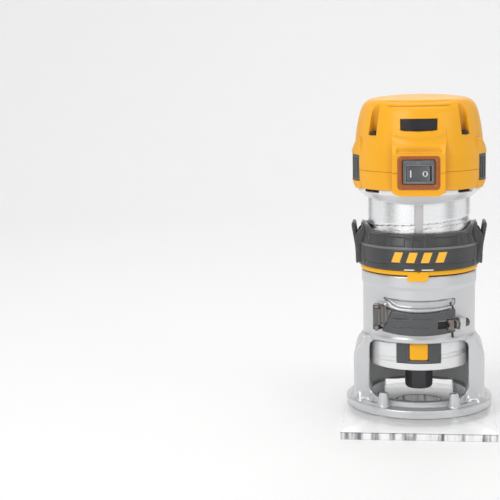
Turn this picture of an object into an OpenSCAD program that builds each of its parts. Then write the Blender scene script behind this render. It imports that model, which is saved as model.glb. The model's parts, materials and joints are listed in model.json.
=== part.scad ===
// Trim router: a compact motor clamped in a fixed base, with a screw-adjusted
// cutting depth, quick-release tabs, a spindle lock and a clear sub-base.
// Origin: spindle axis at the underside of the sub-base. +Z up, front is -Y.

/* [Sub-base] */
// Width of the clear sub-base
sole_w = 100; // [96:1:106]
// Distance from the spindle axis to the straight front edge
sole_front = 81; // [70:1:90]
// Radius of the opening for the cutter
sole_hole_r = 16.5; // [14:0.5:18]

/* [Base casting] */
// Radius of the round foot flange
flange_r = 50; // [48:0.5:50]
// Height of the foot flange above the sub-base
flange_t = 5.3; // [4.5:0.1:6]
// Outer radius of the clamping barrel
barrel_r = 38.2; // [38:0.1:38.4]
// Half width over the two legs
leg_x = 44; // [43:0.5:46]
// Half width of the front window between the legs
window_x = 33.2; // [31:0.2:34]
// Height of the top edge of the front window
window_top = 53.4; // [53:0.1:55]

/* [Motor] */
// Outer radius of the aluminium motor can
can_r = 34.5; // [34.3:0.1:34.5]
// Height of the lower rim of the can
can_z0 = 34.5; // [34:0.1:35]
// Shank radius that the collet grips
shank_r = 3.175; // [3:0.025:3.2]
// Width across flats of the collet nut
nut_af = 16.5; // [16:0.1:17]

/* [Cap] */
// Radius of the yellow cap at its parting line
cap_r = 43.8; // [43.6:0.1:44]
// Overall height of the machine
top_z = 217; // [216:0.5:219]

/* [Controls] */
// Outer radius of the depth adjusting ring
ring_r = 42; // [41.9:0.1:42.2]
// Number of fan blades
fan_blades = 11; // [7:1:13]

/* [Hidden] */
$fn = 96;
sole_t = 5;
flange_z0 = sole_t + 0.05;
flange_z1 = flange_z0 + flange_t;
bore_r = can_r + 0.07;
pocket_xy = [[28.5, -27.5], [-28.5, -27.5], [28.5, 27.5], [-28.5, 27.5]];
sole_screws = [[23.3, -37], [-23.3, -37], [38.8, 14], [-38.8, 14]];
// tangential draw screw of the clamp: a point on its axis and its direction
clamp_z = 66.5;
clamp_a = 41.5;
clamp_rr = 41;
barrel_t = 8.5;
// hinge pin of the clamp lever
pin_x = -27.9;
pin_y = -32.2;
// hinge of the release tabs
tab_x = 40.6;
tab_z = 113;

silver = [0.80, 0.81, 0.82];
casting = [0.74, 0.75, 0.76];
steel = [0.62, 0.63, 0.65];
yellow = [0.98, 0.72, 0.10];
black = [0.17, 0.17, 0.18];
dark = [0.30, 0.30, 0.31];
copper = [0.72, 0.42, 0.22];
brass = [0.72, 0.60, 0.32];
bronze = [0.34, 0.29, 0.25];
clear = [0.90, 0.93, 0.94, 0.45];
amber = [0.78, 0.38, 0.12];

// ---------------------------------------------------------------- helpers

// solid of revolution between two angles, from points [r, z]
module ring_arc(pts, a0, a1) {
  rotate([0, 0, a0]) rotate_extrude(angle = a1 - a0) polygon(pts);
}

module tube(r0, r1, z0, z1) {
  translate([0, 0, z0]) difference() {
    cylinder(r = r1, h = z1 - z0);
    translate([0, 0, -1]) cylinder(r = r0, h = z1 - z0 + 2);
  }
}

// box between two corners
module span(a, b) {
  translate(a) cube([b[0] - a[0], b[1] - a[1], b[2] - a[2]]);
}

// coil spring along +Z, wound from 6-sided wire
module coil(r, w, turns, len) {
  n = ceil(turns * 16);
  m = 6;
  pts = [for (i = [0:n]) let (a = 360 * turns * i / n, z = w + (len - 2 * w) * i / n)
         for (j = [0:m - 1]) let (b = 360 * j / m)
         [(r + w * cos(b)) * cos(a), (r + w * cos(b)) * sin(a), z + w * sin(b)]];
  caps = [[for (j = [0:m - 1]) j], [for (j = [m - 1:-1:0]) n * m + j]];
  sides = [for (i = [0:n - 1]) for (j = [0:m - 1]) for (k = [0:1])
           let (p = i * m + j, q = i * m + (j + 1) % m)
           k == 0 ? [p, p + m, q + m] : [p, q + m, q]];
  polyhedron(points = pts, faces = concat(caps, sides), convexity = 6);
}

// place children at an angle from the front, on a tangential frame:
// local +X is outward, local +Y is tangential
module at_front(phi) {
  rotate([0, 0, phi - 90]) children();
}

// draw-screw frame: local +Z runs along the screw, towards its head
module on_screw(t) {
  translate([clamp_rr * sin(clamp_a), -clamp_rr * cos(clamp_a), clamp_z])
    rotate([0, 0, clamp_a]) rotate([0, 90, 0]) translate([0, 0, t]) children();
}

function barrel_xy() = [clamp_rr * sin(clamp_a) - barrel_t * cos(clamp_a),
                        -clamp_rr * cos(clamp_a) - barrel_t * sin(clamp_a)];

// ---------------------------------------------------------------- base

module base_casting() color(casting) difference() {
  union() {
    // foot flange and the low wall around the cutter opening
    translate([0, 0, flange_z0]) cylinder(r = flange_r, h = flange_t);
    translate([0, 0, flange_z0 + 1]) cylinder(r = 36.6, h = 13.5 - flange_z0 - 1);
    // legs and rear wall
    intersection() {
      difference() {
        translate([0, 0, flange_z1 - 0.5]) linear_extrude(46) union() {
          circle(r = barrel_r + 0.3);
          translate([-leg_x, -21]) square([2 * leg_x, 42]);
        }
        translate([0, 0, 13.5]) cylinder(r = 36.2, h = 38);
      }
      rotate([90, 0, 0]) linear_extrude(100, center = true) polygon([
        [-leg_x, 5], [leg_x, 5], [leg_x, 41.5], [leg_x - 0.4, 44], [leg_x - 1.2, 46.2],
        [leg_x - 2.4, 48], [leg_x - 4, 49.6], [leg_x - 5.7, 50.6], [leg_x - 6.4, 55.2],
        [-leg_x + 6.4, 55.2], [-leg_x + 5.7, 50.6], [-leg_x + 4, 49.6], [-leg_x + 2.4, 48],
        [-leg_x + 1.2, 46.2], [-leg_x + 0.4, 44], [-leg_x, 41.5]]);
    }
    // clamping barrel with its rim
    rotate_extrude() polygon([
      [30, 51.5], [barrel_r, 51.5], [barrel_r, 89.5], [39, 91], [39, 98.4], [38.4, 99], [30, 99]]);
    // screw bosses in front of the window
    for (p = [sole_screws[0], sole_screws[1]])
      translate([p[0], p[1], flange_z1 - 0.5]) cylinder(r1 = 3.7, r2 = 2.8, h = 10.2);
    // lug for the draw screw
    at_front(clamp_a) span([36.5, -2.6, clamp_z - 4.2], [44.3, 2.6, clamp_z + 4.2]);
    // pads that carry the lever bracket
    at_front(-41) span([36.5, -4, 61.8], [38.9, 4, 79.2]);
  }
  // cutter opening through the foot
  translate([0, 0, 4]) cylinder(r = 32, h = 12);
  // window also opens the bottom of the barrel
  rotate([90, 0, 0]) linear_extrude(60) polygon([
    [window_x, 21], [window_x, window_top - 6], [window_x - 0.5, window_top - 3.7],
    [window_x - 1.8, window_top - 1.8], [window_x - 3.7, window_top - 0.5], [window_x - 6, window_top],
    [-window_x + 6, window_top], [-window_x + 3.7, window_top - 0.5],
    [-window_x + 1.8, window_top - 1.8], [-window_x + 0.5, window_top - 3.7],
    [-window_x, window_top - 6], [-window_x, 21], [-window_x + 0.6, 18.2], [-window_x + 2.2, 15.8],
    [-window_x + 4.6, 14.2], [-window_x + 7.4, 13.6], [window_x - 7.4, 13.6],
    [window_x - 4.6, 14.2], [window_x - 2.2, 15.8], [window_x - 0.6, 18.2]]);
  // bore for the can, and the seat of the adjusting ring
  translate([0, 0, 50]) cylinder(r = bore_r, h = 45);
  translate([0, 0, 93]) cylinder(r = 37.2, h = 10);
  // relief groove above the clamping strap, and the split at its right end
  difference() {
    translate([0, -24, 0]) rotate([90, 0, 0]) linear_extrude(21) polygon([
      [-24, 83.2], [-12, 82.4], [0, 82.1], [12, 82.4], [24, 83.2], [24, 78.4], [12, 77.3], [0, 76.9],
      [-11, 77.2], [-15, 77.9], [-18, 79.4], [-20.5, 81.4], [-24, 82.2]]);
    translate([0, 0, 70]) cylinder(r = 35.9, h = 20);
  }
  at_front(36.2) span([30, -0.8, 50], [44, 0.8, 80]);
  // chip slot at the back
  span([-24, 28, 4], [24, 52, 12.6]);
  span([-24, 12, 4], [24, 28.2, 14]);
  // kidney slots beside the legs
  for (s = [-1, 1]) ring_arc([[39.6, 4], [43.6, 4], [43.6, 12], [39.6, 12]],
                             -90 + s * 50 - 7, -90 + s * 50 + 7);
  // threaded holes for the sub-base screws
  for (p = sole_screws) translate([p[0], p[1], 4]) cylinder(r = 1.65, h = 12, $fn = 32);
  // draw screw hole
  on_screw(-8) cylinder(r = 1.75, h = 16, $fn = 32);
  // pocket of the guide key
  span([-2.55, -37.05, 86], [2.55, -30, 91]);
}

module guide_key() color(steel) intersection() {
  span([-2.5, -37, 86.05], [2.5, -33.6, 90.95]);
  cylinder(r = barrel_r, h = 100);
}

module sub_base() color(clear) difference() {
  union() {
    cylinder(r = sole_w / 2, h = sole_t);
    span([-sole_w / 2, -sole_front, 0], [sole_w / 2, 0, sole_t]);
  }
  translate([0, 0, -1]) cylinder(r = sole_hole_r, h = sole_t + 2);
  for (p = sole_screws) translate([p[0], p[1], -1]) {
    cylinder(r = 1.9, h = sole_t + 2, $fn = 32);
    cylinder(r = 3.6, h = 3.3, $fn = 48);
  }
}

module sub_base_screws() color(steel)
  for (p = sole_screws) translate([p[0], p[1], 0]) difference() {
    union() {
      translate([0, 0, 0.4]) cylinder(r = 3.3, h = 1.85, $fn = 48);
      translate([0, 0, 2]) cylinder(r = 1.6, h = 12, $fn = 32);
    }
    for (a = [0, 90]) rotate([0, 0, a]) span([-2, -0.4, -1], [2, 0.4, 1.4]);
  }

// ---------------------------------------------------------------- clamp

module clamp_bracket() color(bronze) {
  difference() {
    union() {
      ring_arc([[39.2, 62.4], [39.9, 62.4], [39.9, 78.7], [39.2, 78.7]], -90 - 46.5, -90 - 36.9);
      for (z = [[62.4, 64.9], [76.9, 78.7]]) {
        translate([pin_x, pin_y, z[0]]) cylinder(r = 2.6, h = z[1] - z[0], $fn = 48);
        at_front(-41) span([39.2, -2.2, z[0]], [42.2, 2.2, z[1]]);
      }
    }
    translate([pin_x, pin_y, 50]) cylinder(r = 1.3, h = 40, $fn = 48);
  }
}

module clamp_pin() color(steel) {
  translate([pin_x, pin_y, 61.4]) cylinder(r = 1.25, h = 18.1, $fn = 48);
  translate([pin_x, pin_y, 78.8]) cylinder(r = 2, h = 0.9, $fn = 48);
}

module clamp_lever() color(dark) difference() {
  union() {
    // band with bowed upper and lower edges
    difference() {
      intersection() {
        ring_arc([[40.3, 59.5], [42, 59.3], [42.4, 60], [42.4, 76], [42, 76.7], [40.3, 76.5]],
                 -90 - 36, -90 + 35.3);
        translate([0, 0, 59.5 + 162]) rotate([90, 0, 0]) cylinder(r = 162, h = 80, $fn = 360);
      }
      translate([0, 0, 74.4 + 111]) rotate([90, 0, 0]) cylinder(r = 111, h = 80, $fn = 360);
    }
    translate([pin_x, pin_y, 65.2]) cylinder(r = 2.6, h = 11.4, $fn = 48);
    translate([0, 0, 65.2]) linear_extrude(11.3) polygon([
      [pin_x + 0.4, pin_y - 2.5], [pin_x + 4, pin_y - 2.3], [pin_x + 5, pin_y - 1], [pin_x + 1.4, pin_y + 1.6]]);
  }
  translate([pin_x, pin_y, 50]) cylinder(r = 1.3, h = 40, $fn = 48);
  // T-shaped slot that hooks over the barrel
  span([12.4, -50, clamp_z - 2.5], [30, -25, clamp_z + 2.5]);
  span([18, -50, clamp_z - 4], [30, -25, clamp_z + 4]);
}

module clamp_screw() color(bronze) difference() {
  union() {
    on_screw(-barrel_t - 1.6) cylinder(r = 1.6, h = barrel_t + 5, $fn = 32);
    on_screw(2.8) cylinder(r = 2.9, h = 3.6, $fn = 48);
  }
  on_screw(4.6) cylinder(r = 1.5, h = 4, $fn = 6);
}

module clamp_barrel() color(bronze) difference() {
  translate([barrel_xy()[0], barrel_xy()[1], clamp_z - 3.5]) cylinder(r = 2.4, h = 7, $fn = 48);
  on_screw(-barrel_t - 4) cylinder(r = 1.65, h = 8, $fn = 32);
}

// ---------------------------------------------------------------- depth ring

module index_ring() color(yellow) difference() {
  union() {
    tube(37.3, 39.6, 99.6, 102.6);
    intersection() {
      tube(39.3, 40.4, 95.7, 102.6);
      translate([0, 0, 90]) linear_extrude(14) polygon([[-7.3, 0], [-7.3, -60], [6.4, -60], [6.4, 0]]);
    }
  }
  // index notch
  span([-0.6, -42, 101.2], [0.6, -38, 104]);
}

module adjusting_ring() color(black) difference() {
  union() {
    rotate_extrude() polygon([
      [35.1, 93.6], [36.9, 93.6], [36.9, 103.1], [41.4, 103.1], [ring_r, 103.8],
      [ring_r, 116.4], [ring_r - 0.8, 117.6], [ring_r - 2.4, 122], [ring_r - 3.6, 126],
      [ring_r - 4.4, 127], [35.1, 127]]);
    for (s = [0, 180]) rotate([0, 0, s]) {
      // inner ear beside each tab
      rotate([90, 0, 0]) linear_extrude(14, center = true) polygon([
        [35.6, 116], [38.4, 116], [39.1, 129.4], [38.8, 131], [37.7, 131.3], [36.4, 129.8], [35.6, 126]]);
      // hinge ears
      for (y = [9.5, -12.3]) translate([tab_x, y + 2.8, tab_z])
        rotate([90, 0, 0]) cylinder(r = 2.4, h = 2.8, $fn = 48);
      for (y = [9.5, -12.3]) span([37, y, tab_z - 2.4], [tab_x, y + 2.8, tab_z + 2.4]);
      for (y = [9.5, -12.3]) span([36, y, 103.1], [39.6, y + 2.8, 121]);
    }
  }
  for (s = [0, 180]) rotate([0, 0, s]) {
    // seat of the release tab
    span([37.9, -9.4, 103], [50, 9.4, 116.1]);
    span([39.4, -9.4, 116], [50, 9.4, 132]);
    // way through for the groove pin, spring seat and hinge pin hole
    translate([30, 0, 106.6]) rotate([0, 90, 0]) cylinder(r = 2.2, h = 12, $fn = 32);
    translate([36.6, 0, 121]) rotate([0, 90, 0]) cylinder(r = 2.6, h = 6, $fn = 32);
    translate([tab_x, 15, tab_z]) rotate([90, 0, 0]) cylinder(r = 1.05, h = 30, $fn = 32);
  }
  // finger grips
  for (a = [-60, -24, 24, 60, 120, 156, 204, 240]) at_front(a)
    span([39.6, -7, 118.6], [46, 7, 124]);
}

module ring_marks() color(yellow) intersection() {
  tube(ring_r + 0.02, ring_r + 0.3, 108.6, 115.4);
  rotate([90, 0, 0]) linear_extrude(60) for (x = [-18, -8.4, 1.2, 10.8])
    polygon([[x, 108.6], [x + 5.4, 108.6], [x + 7.8, 115.4], [x + 2.4, 115.4]]);
}

module tab_pins() color(steel)
  for (s = [0, 180]) rotate([0, 0, s]) translate([tab_x, 12.1, tab_z])
    rotate([90, 0, 0]) cylinder(r = 1, h = 24.2, $fn = 32);

module tab_springs() color(steel)
  for (s = [0, 180]) rotate([0, 0, s]) translate([36.7, 0, 121])
    rotate([0, 90, 0]) coil(1.9, 0.28, 3.5, 5);

module release_tab() difference() {
  union() {
    rotate([90, 0, 0]) linear_extrude(18, center = true) polygon([
      [40, 103.5], [42.2, 103.3], [42.6, 104], [42.8, 112], [43.4, 117], [45.4, 128.6],
      [45.5, 130], [45, 131], [44.2, 131.3], [43.4, 131], [42.9, 129.8], [41.9, 121.6],
      [41, 116], [40, 114]]);
    translate([tab_x, 9, tab_z]) rotate([90, 0, 0]) cylinder(r = 2.4, h = 18, $fn = 48);
    // pin that rides in the groove of the can
    translate([34.9, 0, 106.6]) rotate([0, 90, 0]) cylinder(r = 1.4, h = 6, $fn = 32);
  }
  translate([tab_x, 15, tab_z]) rotate([90, 0, 0]) cylinder(r = 1.05, h = 30, $fn = 32);
}

module release_tab_right() color(black) release_tab();
module release_tab_left() color(black) rotate([0, 0, 180]) release_tab();

// ---------------------------------------------------------------- motor can

module motor_housing() color(silver) difference() {
  rotate_extrude() polygon([
    [can_r - 0.5, can_z0], [can_r, can_z0 + 0.5], [can_r, 143.6], [can_r + 0.4, 145],
    [can_r + 1.7, 147.2], [can_r + 4.9, 150.2], [can_r + 6.8, 152.8], [can_r + 7.3, 154.6],
    [can_r + 7.3, 155.6], [39.3, 155.6], [38.6, 153.6], [35, 150], [31.5, 147],
    [31.5, 60], [17.2, 60], [17.2, 66.2], [14.05, 66.2], [14.05, 57.2], [11, 57.2],
    [11, 56], [31.5, 56], [31.5, can_z0]]);
  // opening of the spindle lock
  span([-14.8, -36, 39.1], [14.8, -26, 53.6]);
  // guide groove
  span([-2.75, -36, 53], [2.75, -33.3, 141]);
  // cooling air through the bearing spider
  for (a = [0:45:315]) rotate([0, 0, a]) translate([24.4, 0, 50]) cylinder(r = 4.4, h = 12, $fn = 48);
  // air gaps under the cap
  for (a = [48, -48, 132, -132]) at_front(a) span([36, -6.5, 153.9], [46, 6.5, 157]);
}

module nose_plate() color(dark) difference() {
  tube(12.6, 31.4, 34.7, 37.2);
  for (a = [-22, 22, 68, 112, 158, 202, 248, 292]) rotate([0, 0, a + 90])
    span([16, -3, 30], [28.5, 3, 40]);
  for (x = [-22, 22]) translate([x, 0, 30]) cylinder(r = 2.5, h = 10, $fn = 32);
}

module led_lights() color([0.95, 0.96, 0.9])
  for (x = [-22, 22]) translate([x, 0, 35.2]) {
    cylinder(r = 2.4, h = 4.6, $fn = 32);
    translate([0, 0, 3.4]) cylinder(r = 3, h = 1.2, $fn = 32);
  }

module led_boards() color([0.1, 0.35, 0.2])
  for (x = [-22, 22]) span([x - 4.5, -6, 39.9], [x + 4.5, 6, 41.4]);

module lock_frame() color(black) difference() {
  union() {
    intersection() {
      span([-14.7, -36, 39.2], [14.7, -25.4, 53.5]);
      cylinder(r = can_r - 0.2, h = 60);
    }
    translate([0, -12.4, 47]) rotate([90, 0, 0]) cylinder(r = 3.6, h = 13.2, $fn = 48);
  }
  // well of the button
  span([-6.3, -36, 41.1], [6.3, -27.6, 53.1]);
  translate([0, -10, 47]) rotate([90, 0, 0]) cylinder(r = 2.1, h = 20, $fn = 48);
  // step that clears the inside of the can wall
  for (s = [-1, 1]) span([s * 14.8 - 5, -29.5, 38], [s * 14.8 + 5, -20, 55]);
}

module lock_button() color(yellow) difference() {
  intersection() {
    span([-6.1, -36, 41.3], [6.1, -31.2, 52.9]);
    cylinder(r = can_r - 0.3, h = 60);
  }
  translate([0, -28, 47]) rotate([90, 0, 0]) cylinder(r = 2.02, h = 5.2, $fn = 48);
}

module lock_pin() color(steel)
  translate([0, -9, 47]) rotate([90, 0, 0]) cylinder(r = 2, h = 24, $fn = 48);

module lock_spring() color(steel)
  translate([0, -27.7, 47]) rotate([90, 0, 0]) coil(2.75, 0.28, 3, 3.4);

// ---------------------------------------------------------------- bearings

module bearing_outer(r_in, r_out, z0, w) {
  rb = (r_in + r_out) / 2;
  difference() {
    tube(rb + 1.1, r_out, z0, z0 + w);
    translate([0, 0, z0 + w / 2]) rotate_extrude() translate([rb, 0]) circle(r = 2.05, $fn = 48);
  }
}
module bearing_inner(r_in, r_out, z0, w) {
  rb = (r_in + r_out) / 2;
  difference() {
    tube(r_in, rb - 1.1, z0, z0 + w);
    translate([0, 0, z0 + w / 2]) rotate_extrude() translate([rb, 0]) circle(r = 2.05, $fn = 48);
  }
}
module bearing_balls(r_in, r_out, z0, w, n) {
  rb = (r_in + r_out) / 2;
  for (i = [0:n - 1]) rotate([0, 0, 360 * i / n]) translate([rb, 0, z0 + w / 2]) sphere(r = 2, $fn = 32);
}

module lower_bearing_outer() color(steel) bearing_outer(6.02, 14, 57.4, 8);
module lower_bearing_inner() color(steel) bearing_inner(6.02, 14, 57.4, 8);
module lower_bearing_balls() color(steel) bearing_balls(6.02, 14, 57.4, 8, 9);
module upper_bearing_outer() color(steel) bearing_outer(4.02, 11, 174.2, 7);
module upper_bearing_inner() color(steel) bearing_inner(4.02, 11, 174.2, 7);
module upper_bearing_balls() color(steel) bearing_balls(4.02, 11, 174.2, 7, 7);

// ---------------------------------------------------------------- rotor

module spindle() color(steel) difference() {
  rotate_extrude() polygon([
    [5.3, 24], [6.6, 24], [7, 24.4], [7, 35], [8.4, 36], [8.4, 51.4], [6, 52.4], [6, 66.4],
    [7, 66.6], [7, 82.2], [5, 82.4], [5, 170.4], [4, 171], [4, 182], [3.4, 182.6], [0, 182.6],
    [0, 42], [4.3, 42], [4.3, 36.2]]);
  // lock holes every quarter turn
  for (a = [0:90:270]) rotate([0, 0, a]) translate([5.2, 0, 47]) rotate([0, 90, 0])
    cylinder(r = 2.2, h = 6, $fn = 48);
}

module cooling_fan() color(dark) {
  difference() {
    union() {
      translate([0, 0, 69.6]) cylinder(r = 10.4, h = 12.4);
      translate([0, 0, 80.4]) cylinder(r = 29.4, h = 1.6);
      for (i = [0:fan_blades - 1]) rotate([0, 0, 360 * i / fan_blades])
        translate([9.6, 0, 70]) rotate([0, 0, 24]) translate([0, -0.7, 0]) cube([19, 1.4, 11]);
    }
    translate([0, 0, 60]) cylinder(r = 7.02, h = 30);
  }
}

module armature_core() color([0.45, 0.45, 0.47]) difference() {
  tube(5.02, 19.9, 93, 129);
  for (a = [0:30:330]) rotate([0, 0, a]) span([17.9, -0.8, 92], [21, 0.8, 130]);
}

module armature_windings() color(copper) rotate_extrude() {
  polygon([[5.1, 86], [12, 84.2], [16.8, 86.4], [18.2, 90], [18.2, 92.9], [5.1, 92.9]]);
  polygon([[5.1, 129.1], [18.2, 129.1], [18.2, 132], [16.4, 136], [12, 139], [5.1, 140]]);
}

module commutator() color(copper) difference() {
  union() {
    tube(5.02, 11.9, 158, 169.5);
    tube(5.02, 8, 150, 158.2);
  }
  for (a = [0:15:345]) rotate([0, 0, a]) span([10.9, -0.25, 158.6], [13, 0.25, 171]);
}

module collet() color(steel) difference() {
  rotate_extrude() polygon([
    [shank_r, 17.4], [5.1, 17.4], [6.4, 19.6], [6.4, 22.4], [5.1, 23.9], [4.15, 36],
    [4.15, 39], [shank_r, 39]]);
  for (a = [30, 150, 270]) rotate([0, 0, a]) span([0, -0.3, 10], [10, 0.3, 34]);
}

module collet_nut() color([0.22, 0.22, 0.23]) intersection() {
  translate([0, 0, 10]) cylinder(r = nut_af / 2 / cos(30), h = 30, $fn = 6);
  rotate_extrude() polygon([
    [5.5, 15.2], [8.3, 15.2], [9.3, 16.2], [9.6, 17.8], [9.6, 33.6], [8.8, 34.3], [7.08, 34.3],
    [7.08, 23.2], [6.75, 22.9], [6.75, 19.5], [5.5, 17]]);
}

// ---------------------------------------------------------------- field

module stator_core() color([0.5, 0.5, 0.52]) {
  tube(25, 31.4, 92, 130);
  for (a = [90, 270]) ring_arc([[20.4, 92], [25.2, 92], [25.2, 130], [20.4, 130]], a - 52, a + 52);
}

module field_coils() color(copper) {
  for (a = [0, 180]) ring_arc([[21.1, 88], [24.7, 88], [24.7, 134], [21.1, 134]], a - 34, a + 34);
  for (a = [90, 270]) {
    ring_arc([[20.7, 84.5], [23, 83.4], [28, 83.4], [30.4, 85.6], [30.4, 91.8], [20.7, 91.8]], a - 80, a + 80);
    ring_arc([[20.7, 130.2], [30.4, 130.2], [30.4, 136], [28, 138.4], [23, 138.4], [20.7, 137]], a - 80, a + 80);
  }
}

module bearing_bridge() color(dark) difference() {
  union() {
    tube(14, 39.1, 155.8, 158.2);
    for (x = [-14, 14]) for (y = [-14, 14]) translate([x, y, 158]) cylinder(r = 3, h = 13.4, $fn = 48);
    translate([0, 0, 171]) cylinder(r = 22, h = 3);
    translate([0, 0, 173.5]) cylinder(r = 14, h = 8);
    for (a = [0, 120, 240]) rotate([0, 0, a]) translate([12.5, 0, 181]) cylinder(r = 1.2, h = 5.9, $fn = 32);
  }
  translate([0, 0, 174.1]) cylinder(r = 11.05, h = 12);
  translate([0, 0, 170]) cylinder(r = 6, h = 6);
}

module brush_holders() color(brass)
  for (s = [0, 180]) rotate([0, 0, s]) difference() {
    span([13.6, -5, 158.3], [34, 5, 169.6]);
    span([13, -3.3, 160.6], [32.6, 3.3, 167.4]);
  }

module carbon_brushes() color([0.15, 0.15, 0.16])
  for (s = [0, 180]) rotate([0, 0, s]) span([12.02, -3.2, 160.7], [24, 3.2, 167.3]);

module brush_springs() color(steel)
  for (s = [0, 180]) rotate([0, 0, s]) translate([24.1, 0, 164]) rotate([0, 90, 0]) coil(2.5, 0.3, 5, 8.3);

// ---------------------------------------------------------------- cap

module cap_outer(z0, z1) intersection() {
  union() {
    rotate_extrude() polygon([
      [0, 155.7], [cap_r - 1.4, 155.7], [cap_r - 0.5, 158.4], [cap_r, 164], [cap_r + 0.1, 178],
      [cap_r - 0.4, 182], [42.9, 186], [41.9, 196], [40.9, 203], [40, 207.5], [38.4, 211],
      [35.2, 213.6], [27, 215.4], [15, 216.6], [0, top_z]]);
    // grille housings
    intersection() {
      linear_extrude(200) polygon([
        [38.9, -20.5], [41.6, -15.6], [43.9, -9], [45.2, -2.5], [45.2, 2.5], [43.9, 9], [41.6, 15.6],
        [38.9, 20.5], [-38.9, 20.5], [-41.6, 15.6], [-43.9, 9], [-45.2, 2.5], [-45.2, -2.5],
        [-43.9, -9], [-41.6, -15.6], [-38.9, -20.5]]);
      rotate([90, 0, 0]) linear_extrude(60, center = true) polygon([
        [-42.6, 155.7], [42.6, 155.7], [45.2, 160.4], [45.2, 180], [42.7, 186], [-42.7, 186],
        [-45.2, 180], [-45.2, 160.4]]);
    }
    // switch box at the front
    difference() {
      span([-17, -46.2, 152.8], [17, -20, 184]);
      translate([0, 0, 140]) cylinder(r = 42.2, h = 15.8);
      rotate([0, 90, 0]) linear_extrude(60, center = true) polygon([[-180, -46.3], [-186, -42.5], [-186, -50], [-180, -50]]);
    }
    // cord boss at the back
    translate([0, 30, 176]) rotate([-90, 0, 0]) cylinder(r = 11, h = 15.4);
  }
  translate([0, 0, z0]) cylinder(r = 80, h = z1 - z0);
}

module cap_inner() {
  rotate_extrude() polygon([
    [0, 150], [39.5, 150], [39.5, 157.6], [cap_r - 3, 160], [cap_r - 2.6, 178],
    [40.4, 186], [39.3, 196], [37.4, 207], [33.6, 211], [26, 212.8], [0, 214.2]]);
  span([-14.4, -43.6, 157], [14.4, -20, 179]);
}

module cap_cuts() {
  // switch opening
  span([-13, -60, 157.6], [13, -30, 178.4]);
  // grille openings
  for (s = [-1, 1]) span([s * 44 - 8, -19.6, 160.6], [s * 44 + 8, 19.6, 177.8]);
  // cord entry
  translate([0, 30, 176]) rotate([-90, 0, 0]) cylinder(r = 7.1, h = 20, $fn = 48);
}

module lower_cover() color(yellow) difference() {
  union() {
    difference() {
      cap_outer(152.8, 167.95);
      cap_inner();
    }
    intersection() {
      for (p = pocket_xy) translate([p[0], p[1], 158.4]) cylinder(r = 4, h = 9.55, $fn = 48);
      cap_outer(152.8, 167.95);
    }
  }
  cap_cuts();
  for (p = pocket_xy) translate([p[0], p[1], 159.5]) cylinder(r = 1.65, h = 20, $fn = 32);
}

module top_cover() color(yellow) difference() {
  union() {
    difference() {
      cap_outer(168.05, 220);
      cap_inner();
    }
    intersection() {
      union() {
        for (p = pocket_xy) translate([p[0], p[1], 168.05]) cylinder(r = 5.4, h = 23.6, $fn = 48);
        for (p = pocket_xy) translate([p[0], p[1], 191.6]) difference() {
          cylinder(r = 5.4, h = 25, $fn = 48);
          translate([0, 0, -1]) cylinder(r = 3.4, h = 30, $fn = 48);
        }
        span([-10, 33, 188], [10, 41, 210]);
      }
      cap_outer(168.05, 220);
    }
  }
  cap_cuts();
  // screw pockets
  for (p = pocket_xy) {
    translate([p[0], p[1], 191.6]) cylinder(r = 3.4, h = 30, $fn = 48);
    translate([p[0], p[1], 160]) cylinder(r = 1.8, h = 40, $fn = 32);
  }
  // recess of the rating plate
  span([-11.8, -46, 195.2], [11.8, -39.4, 202.4]);
  // seat of the speed dial
  translate([0, 38.4, 199]) rotate([-90, 0, 0]) cylinder(r = 8.2, h = 10);
  translate([0, 30, 199]) rotate([-90, 0, 0]) cylinder(r = 2.08, h = 12, $fn = 48);
}

module cover_screws() color(steel)
  for (p = pocket_xy) translate([p[0], p[1], 0]) difference() {
    union() {
      translate([0, 0, 191.65]) cylinder(r = 3.1, h = 2.4, $fn = 48);
      translate([0, 0, 161]) cylinder(r = 1.6, h = 31, $fn = 32);
    }
    for (a = [0, 90]) rotate([0, 0, a]) span([-2, -0.4, 192.9], [2, 0.4, 196]);
  }

module rating_plate() color(black)
  span([-11.7, -40.3, 195.3], [11.7, -39.45, 202.3]);

module vent_grille() difference() {
  intersection() {
    linear_extrude(200) polygon([
      [40, -19.5], [41.2, -15.4], [43.4, -9], [44.7, -2.5], [44.7, 2.5], [43.4, 9], [41.2, 15.4],
      [40, 19.5], [38.2, 19.5], [38.2, -19.5]]);
    span([38, -19.5, 160.7], [46, 19.5, 177.7]);
    cylinder(r = 45, h = 200);
  }
  for (i = [0:8]) span([30, -17.6 + i * 4, 162.4], [50, -14.6 + i * 4, 176]);
}

module vent_grille_right() color(black) vent_grille();
module vent_grille_left() color(black) rotate([0, 0, 180]) vent_grille();

// ---------------------------------------------------------------- switch and controls

module switch_bezel() color(amber) difference() {
  union() {
    span([-12.9, -46.6, 157.7], [12.9, -42.6, 178.3]);
  }
  span([-10.4, -50, 160.5], [10.4, -40, 176.5]);
}

module switch_body() color(black) difference() {
  union() {
    span([-10.3, -45.8, 160.6], [10.3, -42, 176.4]);
    span([-11.4, -42.5, 159.4], [11.4, -27, 177]);
    for (x = [-6, 0, 6]) span([x - 0.4, -27.5, 165], [x + 0.4, -22, 171]);
  }
  span([-8.6, -50, 162], [8.6, -37, 172.9]);
  translate([0, -41, 160.8]) cylinder(r = 1.02, h = 13.3, $fn = 32);
}

module switch_rocker() color(dark) translate([0, -41, 0]) rotate([0, 0, -7]) {
  translate([0, 0, 162.2]) linear_extrude(10.4) polygon([
    [-8, -3.6], [-7.6, -4.6], [0, -3.4], [7.6, -4.6], [8, -3.6], [7, 0], [2, 2.6], [-2, 2.6], [-7, 0]]);
  // pivot stubs
  translate([0, 0, 161]) cylinder(r = 0.95, h = 12.9, $fn = 32);
}

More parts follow.
